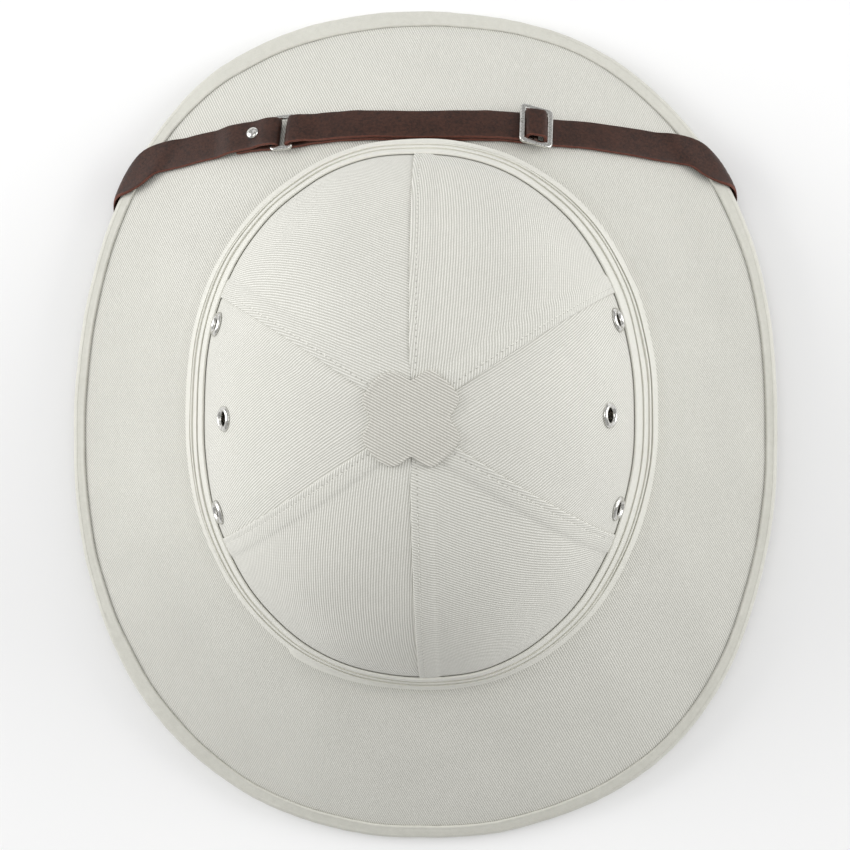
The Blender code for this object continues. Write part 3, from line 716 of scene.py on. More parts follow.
def panel_columns(start, end, rows, over):
    """Turns, distances from both seams and arc length from the apex, by column and row."""
    fine = np.linspace(start - 4, end + 4, 145)
    starts = [SEAM_OVER if over[0] else SEAM_UNDER, SEAM_OVER if over[1] else SEAM_UNDER]
    first, last = (np.array([d for d, _ in table]) * MM for table in starts)
    turns, from_first, from_last = [], [], []
    for row in rows:
        points = cloth_point(fine, row)
        marks = way_along(points)
        marks -= np.interp(start, fine, marks)
        width = np.interp(end, fine, marks)
        shrink = min(1, 0.44 * width / first[-1])
        fade = smooth_step(row, 0.58, 0.85)
        near = np.where(first < 0, first * fade + 0.15 * MM * (1 - fade), first) * shrink
        far = np.where(last < 0, last * fade + 0.15 * MM * (1 - fade), last) * shrink
        middle = np.linspace(near[-1], width - far[-1], PANEL_COLUMNS + 2)[1:-1]
        place = np.concatenate([near, middle, (width - far)[::-1]])
        turns.append(np.interp(place, marks, fine))
        from_first.append(place / shrink)
        from_last.append((width - place) / shrink)
    return (np.array(grid).T for grid in (turns, from_first, from_last))


def seam_lift(distance, over):
    table = np.array(SEAM_OVER if over else SEAM_UNDER) * MM
    return np.interp(distance, table[:, 0], table[:, 1], right=0.0)


def flat_cloth(points, centre, lines):
    """Coordinates in the flat cloth of a panel, turned so that its twill lines run along the first."""
    middle = np.array([0, -CROWN_FORWARD])
    offset = points[..., :2] - middle
    radius = np.linalg.norm(offset, axis=-1)
    steps = np.linalg.norm(np.diff(points, axis=1), axis=-1)
    slant = radius[:, :1] + np.concatenate([np.zeros((len(points), 1)), np.cumsum(steps, 1)], 1)
    angle = np.arctan2(offset[..., 1], offset[..., 0]) - centre
    angle = (angle + np.pi) % (2 * np.pi) - np.pi
    heading = angle * radius / slant + centre - math.radians(lines)
    return np.stack([slant * np.cos(heading), slant * np.sin(heading)], -1), slant


def make_panel(index):
    start = TURNS_OF_SEAMS[index]
    end = TURNS_OF_SEAMS[(index + 1) % 6]
    end += 360 if end < start else 0
    over = LIES_OVER[index]
    rows = np.linspace(PANEL_TOP, PANEL_FOOT, PANEL_ROWS)
    turns, from_first, from_last = panel_columns(start, end, rows, over)
    grid_rows = np.broadcast_to(rows, turns.shape)
    fade = smooth_step(grid_rows, 0.6, 0.95)
    lift = (seam_lift(from_first, over[0]) + seam_lift(from_last, over[1])) * fade
    below = np.where((over[0] & (from_first < 0.1 * MM)) | (over[1] & (from_last < 0.1 * MM)),
                     0.03 * MM, -CLOTH)
    below = np.minimum(below, lift - 0.08 * MM)
    top = raised(turns, grid_rows, lift)
    bottom = raised(turns, grid_rows, below)
    centre = math.radians((start + end) / 2)
    cloth, slant = flat_cloth(cloth_point(turns, grid_rows), centre, TWILL_LINES[index])
    gap = np.minimum(np.where(over[0], from_first, 1.0), np.where(over[1], from_last, 1.0))
    mesh = lofted(f"panel_{index + 1}", np.concatenate([top, bottom[:, ::-1]], 1),
                  cloth=there_and_back(cloth),
                  marks={"seam_gap": there_and_back(gap), "seam_run": there_and_back(slant)})
    return finish_piece(f"panel_{index + 1}", mesh, LOOKS["seamed"],
                        [f"crown_panel_{index + 1}"])


# A stitch along X: place, half width and sink of its sections, in shares of its half length and radius
STITCH_FORM = ((-1.0, 0.5, -1.5), (-0.7, 1.0, -0.2), (0.0, 1.1, 0.2), (0.7, 1.0, -0.2), (1.0, 0.5, -1.5))


# Height of the stitches' middle over the crown's cloth
STITCH_LIFT = 0.48 * MM
# Row where the rows of stitches start, clear of the patch
STITCH_TOP = 1.35


def stitch_shape():
    last = 4 * (len(STITCH_FORM) - 1)
    points, faces = [], [(0, 3, 2, 1), (last, last + 1, last + 2, last + 3)]
    for place, half, sink in STITCH_FORM:
        for side, up in ((-1, -1), (1, -1), (1, 1), (-1, 1)):
            points.append((place * STITCH_LENGTH / 2, side * half * STITCH_RADIUS,
                           (sink + up * half) * STITCH_RADIUS))
    for section in range(len(STITCH_FORM) - 1):
        for corner in range(4):
            low, high = 4 * section + corner, 4 * section + (corner + 1) % 4
            faces.append((low, high, high + 4, low + 4))
    return np.array(points), np.array(faces)


def make_stitches():
    """Rows of thread stitches beside the seams' folds."""
    frames = []
    for index, seam in enumerate(TURNS_OF_SEAMS):
        side = 1 if LIES_OVER[index][0] else -1
        rows = np.linspace(STITCH_TOP, BAND_TOP, 300)
        line = cloth_point(np.full(rows.shape, seam), rows)
        away = np.linalg.norm(line[:, :2] - (0, -CROWN_FORWARD), axis=1)
        turns = seam + side * np.degrees(STITCH_ASIDE / away)
        points = raised(turns, rows, np.full(rows.shape, STITCH_LIFT))
        marks = way_along(points)
        places = np.arange(STITCH_PITCH, marks[-1] - STITCH_PITCH / 2, STITCH_PITCH)
        here, ahead = (np.stack([np.interp(spots, marks, points[:, axis]) for axis in range(3)], -1)
                       for spots in (places, places + MM))
        normals = cloth_normal(np.interp(places, marks, turns), np.interp(places, marks, rows))
        frames.append(frames_on(here, normals, ahead - here))
    mesh = copies("seam_thread", *stitch_shape(), np.concatenate(frames))
    return finish_piece("seam_thread", mesh, LOOKS["thread"])


# Shell, brim, binding and band

SHELL_SECTIONS = 320
BRIM_SECTIONS = 360
BRIM_COLUMNS = 44
# Direction of the brim's twill lines seen from above, and how far they stretch across it
BRIM_LINES = 118
BRIM_STRETCH = 0.25


def make_shell():
    """Moulded wall: down the outside from the apex, round the brim's edge, up the inside."""
    turns = np.linspace(0, 360, SHELL_SECTIONS, endpoint=False)[:, None]
    rows = np.concatenate([[0], np.linspace(0.3, BRIM_EDGE, 70)])[None, :]
    shape = (SHELL_SECTIONS, rows.size)
    outer = raised(turns, rows, np.full(shape, -CLOTH - GAP))
    inner = raised(turns, rows, np.full(shape, -STACK))
    outer[:, 0] = outer[:, 0].mean(0)
    inner[:, 0] = inner[:, 0].mean(0)
    mesh = lofted("shell_wall", np.concatenate([outer, inner[:, ::-1]], 1), around=True, ring=False)
    return finish_piece("shell_wall", mesh, LOOKS["pith"], ["pith_shell"])


def make_brim():
    """One cloth over the whole brim; its lines keep their direction seen from above."""
    turns = np.linspace(0, 360, BRIM_SECTIONS, endpoint=False)[:, None]
    rows = np.linspace(COVER_TOP, BRIM_EDGE, BRIM_COLUMNS)[None, :]
    shape = (BRIM_SECTIONS, BRIM_COLUMNS)
    top = raised(turns, rows, np.zeros(shape))
    bottom = raised(turns, rows, np.full(shape, -CLOTH))
    x, y = top[..., 0], top[..., 1]
    along, across = turned_to(x, y, BRIM_LINES)
    across = across * (1 + BRIM_STRETCH * across ** 2 / (x ** 2 + y ** 2))
    mesh = lofted("brim_cloth", np.concatenate([top, bottom[:, ::-1]], 1), around=True,
                  cloth=there_and_back(np.stack([along, across], -1)))
    return finish_piece("brim_cloth", mesh, LOOKS["twill"], ["brim_cover"])


# Height of the binding's cloth by distance in from its own inner edge, in mm
BINDING_EDGE = ((0.00, 0.26), (-0.05, 0.55), (0.06, 0.85), (0.30, 1.05), (0.80, 1.12), (1.30, 1.02),
                (1.90, 1.16), (3.00, 1.25), (4.50, 1.30))
BINDING_SECTIONS = 900
# Width of the tape on top of the brim by turn, in shares of its full width
TAPE_SHARES = ((0, 0.50), (15, 0.60), (30, 0.82), (45, 0.85), (60, 0.72), (90, 0.68), (120, 0.68),
               (150, 0.62), (165, 0.53), (180, 0.50), (195, 0.52), (210, 0.68), (225, 0.68), (240, 0.62),
               (255, 0.74), (270, 1.00), (285, 1.04), (300, 0.92), (315, 0.65), (330, 0.53), (345, 0.53),
               (360, 0.50))
# Points of the tape's section round the brim's edge
EDGE_POINTS = 17


def make_binding():
    """Cloth tape folded round the brim's edge, pressed flat where the helmet rests."""
    turns = np.linspace(0, 360, BINDING_SECTIONS, endpoint=False)
    around, share = np.array(TAPE_SHARES).T
    leg = BINDING_LEG * np.interp(turns, around, share) + wave_round(turns, 3, (5, 9, 16, 31), 0.00012)
    swell = wave_round(turns, 5, (37, 61, 90, 131), 0.00005)
    depths = np.array([d for d, _ in BINDING_EDGE]) * MM
    lifts = np.array([h for _, h in BINDING_EDGE]) * MM
    inward = np.maximum(leg[:, None] - depths, 0.0)
    rows = row_up(np.broadcast_to(turns[:, None], inward.shape), BRIM_EDGE, inward)
    top = raised(turns[:, None], rows, lifts + swell[:, None])
    outer_shape, inner_shape = (len(turns), EDGE_POINTS), (len(turns), 3)
    edge = edge_point(np.broadcast_to(turns[:, None], outer_shape),
                      np.broadcast_to(np.linspace(0, 180, EDGE_POINTS), outer_shape),
                      EDGE_OUTER + swell[:, None] + np.zeros(EDGE_POINTS))
    under = raised(turns[:, None], rows, -STACK - lifts)[:, ::-1]
    inner_rows = rows[:, :1]
    inner_under = raised(turns[:, None], inner_rows, np.full(inner_rows.shape, -STACK - GAP * 0.5))
    inner_edge = edge_point(np.broadcast_to(turns[:, None], inner_shape),
                            np.broadcast_to(np.array([180, 90, 0]), inner_shape),
                            np.full(inner_shape, EDGE_INNER - GAP * 0.5))
    sections = np.concatenate([top, edge, under, inner_under, inner_edge], 1)
    sections[..., 2] = np.maximum(sections[..., 2], 0.0)
    mesh = lofted("binding_tape", sections, around=True)
    return finish_piece("binding_tape", mesh, LOOKS["tape"], ["rim_binding"])


# Share of the band's height where each ply starts, from the top
PLY_STARTS = (0.00, 0.27, 0.47, 0.66, 1.00)
# A ply's surface by share of its height, in shares of a ply's thickness over the ply behind it
PLY_FORM = ((0.10, 0.18), (0.07, 0.34), (0.04, 0.50), (0.02, 0.64), (0.03, 0.78), (0.07, 0.90), (0.14, 0.98),
            (0.26, 1.01), (0.45, 0.98), (0.75, 0.95), (1.00, 0.96))
# Slot behind the band's top edge: height over the crown by share of the band's height
BAND_SLOT = ((0.03, 0.10), (0.02, 0.26), (0.005, 0.44))
# Lapped end of the lowest ply: turns where it starts, stands out furthest and ends, with how far
LAP_TURNS = (56, 59, 86)
LAP_OUT = 0.11
LAP_LIFT = 0.0006
BAND_SECTIONS = 720
PLIES = len(PLY_STARTS) - 1
# The top ply has no fold over another one, so its form starts at this point
TOP_PLY_FROM = 3
# The lapped end is lifted over this many points from the band's foot
HEM_POINTS = 6
# How far the plies' edges wander, in rows: between two plies, and at the band's top and foot
PLY_WANDER = 0.035
EDGE_WANDER = 0.012


def make_band():
    """Pleated band: four folded plies, each standing out past the one above it."""
    turns = np.linspace(0, 360, BAND_SECTIONS, endpoint=False)
    height = BAND_FOOT - BAND_TOP
    starts = [BAND_TOP + share * height
              + wave_round(turns, 20 + ply, (2, 3, 5, 9, 17), PLY_WANDER if 0 < ply < PLIES else EDGE_WANDER)
              for ply, share in enumerate(PLY_STARTS)]
    rows, lifts = [], []
    for ply in range(PLIES):
        depth = starts[ply + 1] - starts[ply]
        puff = wave_round(turns, 30 + ply, (4, 7, 13, 23), 0.09)
        for share, stand in PLY_FORM[0 if ply else TOP_PLY_FROM:]:
            rows.append(starts[ply] + share * depth)
            lifts.append(GAP + PLY * (ply + stand + puff * smooth_step(stand, 0, 1)))
    rows, lifts = np.array(rows).T, np.array(lifts).T
    lap_start, lap_most, lap_end = LAP_TURNS
    lap = smooth_step(turns, lap_start, lap_most) * (1 - smooth_step(turns, lap_most, lap_end))
    hem = smooth_step(rows, rows[:, -HEM_POINTS][:, None], rows[:, -1:]) * lap[:, None]
    rows, lifts = rows + LAP_OUT * hem, lifts + LAP_LIFT * hem
    inner = np.linspace(BAND_FOOT, BAND_TOP + BAND_SLOT[0][0] * height, 8)[None, :]
    foot = raised(turns[:, None], rows[:, -1:], lifts[:, -1:] * 0.55)
    back = raised(turns[:, None], inner, np.full((len(turns), 8), GAP * 0.8))
    slot_shares, slot_lifts = np.array(BAND_SLOT[1:]).T
    slot_rows = starts[0][:, None] + slot_shares * height
    slot = raised(turns[:, None], slot_rows, np.full(slot_rows.shape, MM) * slot_lifts)
    outside = raised(turns[:, None], rows, lifts)
    mesh = lofted("band_cloth", np.concatenate([outside, foot, back, slot], 1), around=True)
    return finish_piece("band_cloth", mesh, LOOKS["band"], ["hat_band"], 75)


# The patch's upper side: height in mm by share of the way out to its edge
PATCH_FORM = ((0.001, 1.5), (0.12, 1.5), (0.25, 1.5), (0.38, 1.5), (0.5, 1.5), (0.62, 1.52), (0.74, 1.5),
              (0.82, 1.42), (0.88, 1.34), (0.92, 1.42), (0.955, 1.46), (0.98, 1.4), (0.995, 1.22),
              (1.0, 1.0), (0.99, 0.75), (0.975, 0.5))
# How much shallower the notch on the left is
LEFT_NOTCH = 0.0007
# Direction of the patch's twill lines seen from above
PATCH_LINES = 152


def make_patch():
    """Four lobed patch over the meeting of the panels."""
    angles = np.linspace(0, 2 * np.pi, 160, endpoint=False)[:, None]
    away = np.abs((np.degrees(angles) + 45) % 90 - 45)
    notch = PATCH_NOTCH + LEFT_NOTCH * np.cos(angles).clip(0, 1)
    reach = lerp(notch, PATCH_LOBE, smooth_step(away, 0, 25) ** 1.1)
    reach = reach + wave_round(np.degrees(angles), 41, (3, 5, 7, 11), 0.00018)
    shares, heights = np.array(PATCH_FORM).T
    radius = shares[None, :] * reach
    turn, row = dome_place(radius * np.cos(angles), radius * np.sin(angles) - CROWN_FORWARD)
    top = raised(turn, row, np.broadcast_to(heights * MM, radius.shape))
    bottom = raised(turn, row, np.full(radius.shape, GAP))[:, ::-1]
    sections = np.concatenate([top, bottom], 1)
    sections[:, 0] = sections[:, 0].mean(0)
    sections[:, -1] = sections[:, -1].mean(0)
    cloth = np.stack(turned_to(sections[..., 0], sections[..., 1], PATCH_LINES), -1)
    mesh = lofted("crown_patch", sections, around=True, ring=False, cloth=cloth)
    return finish_piece("crown_patch", mesh, LOOKS["patch"], ["top_patch"])


# Eyelets

EYELETS = [(side, place, middle + step * EYELET_TURN * (1 if side == "left" else -1),
            EYELET_RADIUS + EYELET_CLEAR + (0 if step else EYELET_CLIMB))
           for side, middle in (("left", 0), ("right", 180))
           for place, step in (("front", -1), ("middle", 0), ("back", 1))]


def eyelet_frame(turn, above_band):
    row = row_up(turn, BAND_TOP, above_band)
    return frames_on(raised(turn, row, 0.0), cloth_normal(turn, row), np.array([0.0, 1.0, 0.0]))


def rounded(corners, steps=4):
    """Profile with each (radius, height, rounding) corner replaced by a short curve."""
    points = []
    count = len(corners)
    for index, (x, y, rounding) in enumerate(corners):
        here = np.array([x, y])
        if not rounding:
            points.append(tuple(here))
            continue
        before = np.array(corners[index - 1][:2]) - here
        after = np.array(corners[(index + 1) % count][:2]) - here
        start = here + before / np.linalg.norm(before) * rounding
        end = here + after / np.linalg.norm(after) * rounding
        for step in range(steps + 1):
            part = step / steps
            points.append(tuple((1 - part) ** 2 * start + 2 * part * (1 - part) * here + part ** 2 * end))
    return points


def make_eyelet(side, place, turn, above_band):
    """Rolled flange on the cloth, barrel through the wall and a flare inside."""
    top = GAP + EYELET_RISE
    wall = STACK
    profile = rounded((
        (EYELET_HOLE, -wall, 0), (EYELET_HOLE, GAP + 0.2 * MM, 0.5 * MM),
        (EYELET_HOLE + 0.9 * MM, top + 0.15 * MM, 0.45 * MM),
        (EYELET_RADIUS - 0.5 * MM, top - 0.1 * MM, 0.45 * MM),
        (EYELET_RADIUS, GAP + 0.15 * MM, 0.12 * MM), (EYELET_RADIUS - 0.05 * MM, GAP * 0.4, 0),
        (EYELET_BARREL, GAP * 0.4, 0), (EYELET_BARREL, -wall - GAP, 0),
        (EYELET_RADIUS - 0.7 * MM, -wall - 0.5 * MM, 0.2 * MM), (EYELET_BARREL, -wall - 0.9 * MM, 0.2 * MM)))
    mesh = turned_mesh(f"vent_{side}_{place}", profile, 48, eyelet_frame(turn, above_band))
    return finish_piece(f"vent_{side}_{place}", mesh, LOOKS["nickel"], [f"eyelet_{side}_{place}"])


def hole_mesh(name, radius, low, high, frames, sides=36):
    """Cutter with a round bar in each frame."""
    profile = ((0, low), (radius, low), (radius, high), (0, high))
    bars = bpy.data.meshes.new(name)
    points, faces, base = [], [], 0
    for place in frames:
        sections = turned_sections(profile, sides, place)
        ring_low, ring_high = sections[:, 1], sections[:, 2]
        points += [*ring_low.tolist(), *ring_high.tolist()]
        for i in range(sides):
            after = (i + 1) % sides
            faces.append((base + i, base + after, base + sides + after, base + sides + i))
        faces.append(tuple(base + sides - 1 - i for i in range(sides)))
        faces.append(tuple(base + sides + i for i in range(sides)))
        base += 2 * sides
    bars.from_pydata(points, [], faces)
    return bars


def cut_holes(piece, cutter_mesh):
    """Cut a piece with a cutter and keep the result as its mesh."""
    cutter = bpy.data.objects.new("cutter", cutter_mesh)
    bpy.context.scene.collection.objects.link(cutter)
    modifier = piece.modifiers.new("holes", "BOOLEAN")
    modifier.object = cutter
    modifier.solver = "EXACT"
    bpy.context.view_layer.update()
    graph = bpy.context.evaluated_depsgraph_get()
    cut = bpy.data.meshes.new_from_object(piece.evaluated_get(graph))
    piece.modifiers.clear()
    piece.data = cut
    bpy.data.objects.remove(cutter)


# Chin strap

def edge_distance(turn, row):
    """Distance from a row to the brim's upper edge along the cloth."""
    rows = np.linspace(row, BRIM_EDGE, 13)
    return np.linalg.norm(np.diff(cloth_point(turn, rows), axis=0), axis=1).sum()


def over_edge(turn, reach, level):
    """Points at a level over the helmet's outside, its edge or its underside.

    `reach` is the distance in from the brim's upper edge. It falls through 0 to -ROUND_EDGE
    round the edge, and further below that on the underside.
    """
    turn, reach, level = np.broadcast_arrays(turn, reach, level)
    inward = np.where(reach >= 0, reach, np.maximum(-reach - ROUND_EDGE, 0))
    fade = np.clip(inward / BINDING_LEG - 1 - STRAP_EASE, 0, 1)
    step = (GAP + BINDING_WALL) * (1 - fade * fade * (3 - 2 * fade))
    row = row_up(turn, BRIM_EDGE, inward)
    flat = raised(turn, row, np.where(reach >= 0, level + step, -STACK - level - step))
    bend = edge_point(turn, np.clip(-180 * reach / ROUND_EDGE, 0, 180), EDGE_OUTER + level)
    return np.where(((reach < 0) & (reach > -ROUND_EDGE))[..., None], bend, flat)


# Steps between two stations of the strap's course
COURSE_STEPS = 40
# A turn and its mirror on the other side add up to this
BOTH_TURNS = 540


class StrapCourse:
    """Middle line of the whole strap loop: (turn, reach) by distance from the left anchor."""

    def __init__(self):
        half = []
        for aside, ahead in STRAP_COURSE:
            place = dome_place(aside * HELMET_WIDTH, -lerp(FRONT_FOOT, HELMET_LENGTH / 2, ahead))
            half.append((float(place[0]), edge_distance(float(place[0]), float(place[1]))))
        crossing = half[0][0]
        self.brim_width = edge_distance(crossing + STRAP_RETURN[-1][0], 10)
        hidden = [(crossing + back, -ROUND_EDGE - inward * (self.brim_width + ANCHOR_RISE))
                  for back, inward in reversed(STRAP_RETURN)]
        left = np.array(hidden + half)
        stations = np.vstack([left, left[-2::-1] * (-1, 1) + (BOTH_TURNS, 0)])
        stations = np.vstack([2 * stations[0] - stations[1], stations, 2 * stations[-1] - stations[-2]])
        spans = len(stations) - 3
        self.places = curve_through(stations, np.arange(COURSE_STEPS * spans + 1) / COURSE_STEPS)
        points = over_edge(self.places[:, 0], self.places[:, 1], STRAP_LOW)
        self.marks = way_along(points)
        self.length = self.marks[-1]

    def place(self, mark):
        return np.interp(mark, self.marks, self.places[:, 0]), np.interp(mark, self.marks, self.places[:, 1])

    def mark_aside(self, aside):
        """Distance along the loop where the upper strap passes a place aside of the middle."""
        turn, _ = dome_place(aside, -lerp(FRONT_FOOT, HELMET_LENGTH / 2, STRAP_COURSE[-1][1]))
        upper = self.places[:, 1] >= 0
        return float(np.interp(-turn, -self.places[upper, 0], self.marks[upper]))

    def frame(self, mark, level):
        """Origins, directions along the strap, across it and outward."""
        step = STRAP_WALL / 2
        turn, reach = self.place(mark)
        here = over_edge(turn, reach, level)
        along = unit(over_edge(*self.place(mark + step), level) - over_edge(*self.place(mark - step), level))
        outward = over_edge(turn, reach, level + step) - here
        across = unit(np.cross(outward, along))
        return here, along, across, np.cross(along, across)

    def beside(self, mark, level, offset):
        """Points beside the middle line, on the same curved surface."""
        turn, reach = self.place(mark)
        _, _, across, _ = self.frame(mark, level)
        swing, shift = 2, STRAP_WIDTH / 3
        by_turn = over_edge(turn + swing, reach, level) - over_edge(turn - swing, reach, level)
        by_reach = over_edge(turn, reach + shift, level) - over_edge(turn, reach - shift, level)
        by_turn, by_reach = by_turn / (2 * swing), by_reach / (2 * shift)
        a, b, c = ((u * v).sum(-1)
                   for u, v in ((by_turn, by_turn), (by_turn, by_reach), (by_reach, by_reach)))
        p, q = ((u * across).sum(-1) * offset for u in (by_turn, by_reach))
        scale = a * c - b * b
        return over_edge(turn + (p * c - q * b) / scale, reach + (q * a - p * b) / scale, level)


def strap_section():
    """Half widths and half thicknesses round a strap's section, starting at its upper left edge."""
    half, thick, bevel = STRAP_WIDTH / 2, STRAP_WALL / 2, 0.42 * MM
    upper = [(-half, thick - bevel), (-half + 0.12 * MM, thick - 0.18 * MM),
             (-half + bevel, thick - 0.03 * MM)]
    upper += [(share * half, thick + 0.05 * MM * (1 - share ** 2)) for share in (-0.8, -0.5, -0.2)]
    upper += [(-x, y) for x, y in reversed(upper)]
    return upper + [(x, -y) for x, y in reversed(upper)]


SECTION = strap_section()
# How raw each point of half a section is: 1 at the cut edges, 0 on the face
EDGE_MARKS = [1.0, 0.75, 0.25, 0, 0, 0, 0, 0, 0, 0.25, 0.75, 1.0]


def make_ribbon(name, course, path, replaced):
    """Leather strap along (mark, level) points; it may fold back over itself."""
    marks, levels = np.array(path).T
    middle, _, across, _ = course.frame(marks, levels)
    before = np.concatenate([middle[:1], middle[:-1]])
    after = np.concatenate([middle[1:], middle[-1:]])
    lift = unit(np.cross(unit(after - before), across))
    offsets = sorted({x for x, _ in SECTION})
    lines = {x: course.beside(marks, levels, x) for x in offsets}
    sections = np.stack([lines[x] + lift * y for x, y in SECTION], 1)
    run = way_along(middle)
    cloth = np.stack([np.stack([run, np.full(len(run), x)], -1) for x, _ in SECTION], 1)
    edge = np.tile(np.array(EDGE_MARKS + EDGE_MARKS[::-1]), (len(marks), 1))
    mesh = lofted(name, sections, cloth=cloth, marks={"edge": edge})
    return finish_piece(name, mesh, LOOKS["leather"], replaced, 60)


# Longest step between two sections of a strap
RUN_STEP = 1.6 * MM


def level_run(start, end, level):
    """Points of a strap that stays at one level."""
    count = max(int(math.ceil(abs(end - start) / RUN_STEP)), 1)
    return [(mark, level) for mark in np.linspace(start, end, count + 1)]


def climbing(start, end, low, high, steps=8):
    """Points of a strap that climbs or drops smoothly from one level to another."""
    parts = np.linspace(0, 1, steps + 1)
    return [(lerp(start, end, part), lerp(low, high, part * part * (3 - 2 * part))) for part in parts]


def fold_over_bar(mark, level, direction, steps=16):
    """Half turn round the ring's bar: from above it, past it in the direction given, to below it."""
    return [(mark + direction * FOLD_OUT * math.sin(math.pi * i / steps),
             level + BAR_STEP * math.cos(math.pi * i / steps)) for i in range(steps + 1)]


def make_strap_short(course, ring_mark):
    """Left strap: anchor, under the brim, round the rim, over the ring's near bar and a tail below."""
    bar_mark = ring_mark - RING_LENGTH / 2 + RING_BAR / 2
    bar_level = STRAP_LOW + BAR_STEP
    tail_end = bar_mark - TAIL_LENGTH
    low_end = tail_end - STRAP_CLIMB - STRAP_WALL
    fold = bar_mark - FOLD_OUT
    path = level_run(0, low_end, STRAP_LOW)
    path += climbing(low_end, tail_end - STRAP_WALL, STRAP_LOW, STRAP_HIGH)[1:]
    path += level_run(tail_end - STRAP_WALL, fold - STRAP_CLIMB, STRAP_HIGH)[1:]
    path += climbing(fold - STRAP_CLIMB, fold, STRAP_HIGH, bar_level + BAR_STEP)[1:]
    path += fold_over_bar(bar_mark, bar_level, 1)
    path += level_run(bar_mark - 0.4 * FOLD_OUT, tail_end, STRAP_LOW)
    return make_ribbon("chin_strap_left", course, path, ["strap_short"])


def slide_levels():
    """Levels of the slide's bars: first (towards the ring), middle and last."""
    first = STRAP_HIGH + BAR_STEP + BAR_GAP
    last = STRAP_LOW + BAR_STEP + BAR_GAP
    return first, (first + last) / 2, last


def make_strap_long(course, ring_mark, slide_mark):
    """Right strap: anchor, rim, through the slide, over the ring's bar and back to the slide."""
    bar_mark = ring_mark + RING_LENGTH / 2 - RING_BAR / 2
    bar_level = STRAP_LOW + BAR_STEP
    reach = SLIDE_LENGTH / 2 - SLIDE_BAR / 2
    over = slide_levels()[1] + BAR_STEP + BAR_GAP
    fold = bar_mark + FOLD_OUT
    path = level_run(course.length, slide_mark + reach + SLIDE_BAR, STRAP_LOW)
    weave = np.array([(2.0 - SLIDE_WEAVE[0][0], 0), *SLIDE_WEAVE, (-2.0, 0)])
    for aside, climb in curve_through(weave, np.arange(5 * (len(SLIDE_WEAVE) - 1) + 1) / 5):
        level = lerp(STRAP_LOW if aside > 0 else STRAP_HIGH, over, min(max(climb, 0), 1.02))
        path.append((slide_mark + aside * reach, level))
    path += level_run(slide_mark - reach - STRAP_CLIMB, fold + STRAP_CLIMB, STRAP_HIGH)
    path += climbing(fold + STRAP_CLIMB, fold, STRAP_HIGH, bar_level + BAR_STEP)[1:]
    path += fold_over_bar(bar_mark, bar_level, -1)
    path += level_run(bar_mark + 0.4 * FOLD_OUT, slide_mark, STRAP_LOW)
    return make_ribbon("chin_strap_right", course, path, ["strap_long"])


def rounded_loop(half_long, half_wide, radius, steps=8):
    """Points and outward directions round a rectangle with round corners."""
    points, outward = [], []
    for corner, (sx, sy) in enumerate(((1, 1), (-1, 1), (-1, -1), (1, -1))):
        for step in range(steps + 1):
            angle = math.pi / 2 * (corner + step / steps)
            direction = np.array([math.cos(angle), math.sin(angle), 0.0])
            centre = np.array([sx * (half_long - radius), sy * (half_wide - radius), 0.0])
            points.append(centre + radius * direction)
            outward.append(direction)
    return np.array(points), np.array(outward)


def bar_section(width, thickness, sides=14):
    """Nearly round section of a metal bar, as shares across and up."""
    angles = 2 * np.pi * np.arange(sides) / sides
    return (signed_power(np.cos(angles), 0.5) * width / 2, signed_power(np.sin(angles), 0.5) * thickness / 2)


def loop_sections(length, breadth, bar, place):
    """Sections of a flat loop of bar, length by breadth over all."""
    points, outward = rounded_loop(length / 2 - bar / 2, breadth / 2 - bar / 2, 1.1 * MM)
    across, up = bar_section(bar, BAR)
    local = (points[:, None] + outward[:, None] * across[None, :, None]
             + np.array([0, 0, 1]) * up[None, :, None])
    return local @ place[:3, :3].T + place[:3, 3]


def join_meshes(name, meshes):
    """One mesh from several."""
    points, faces, base = [], [], 0
    for mesh in meshes:
        points += [tuple(v.co) for v in mesh.vertices]
        faces += [tuple(base + i for i in p.vertices) for p in mesh.polygons]
        base += len(mesh.vertices)
        bpy.data.meshes.remove(mesh)
    joined = bpy.data.meshes.new(name)
    joined.from_pydata(points, [], faces)
    return joined


def strap_frame(course, mark, level, tilt=0.0):
    """Matrix on the strap's middle line: X along it, Z outward, tilted about Y."""
    here, along, _, normal = course.frame(mark, level)
    made = frames_on(here, normal, along)
    return made @ np.array(Matrix.Rotation(tilt, 4, "Y"))


def make_strap_metal(course, ring_mark, slide_mark):
    ring_place = strap_frame(course, ring_mark, STRAP_LOW + BAR_STEP)
    ring = loop_sections(RING_LENGTH, RING_BREADTH, RING_BAR, ring_place)
    finish_piece("strap_loop", lofted("strap_loop", ring, around=True), LOOKS["nickel"],
                 ["strap_ring"])
    first, middle, last = slide_levels()
    tilt = math.atan2(first - last, SLIDE_LENGTH - SLIDE_BAR)
    place = strap_frame(course, slide_mark, middle, tilt)
    outer = lofted("slide_outer", loop_sections(SLIDE_LENGTH, SLIDE_BREADTH, SLIDE_BAR, place), around=True)
    across, up = bar_section(SLIDE_MIDDLE_BAR, BAR)
    reach = SLIDE_BREADTH / 2 - SLIDE_BAR / 2
    stations = np.array([-reach, -reach * 0.9, 0, reach * 0.9, reach])
    local = np.stack(np.broadcast_arrays(across, stations[:, None], up), -1)
    middle_bar = lofted("slide_middle", local @ place[:3, :3].T + place[:3, 3])
    finish_piece("strap_slide", join_meshes("strap_slide", [outer, middle_bar]), LOOKS["nickel"],
                 ["slide_buckle"])


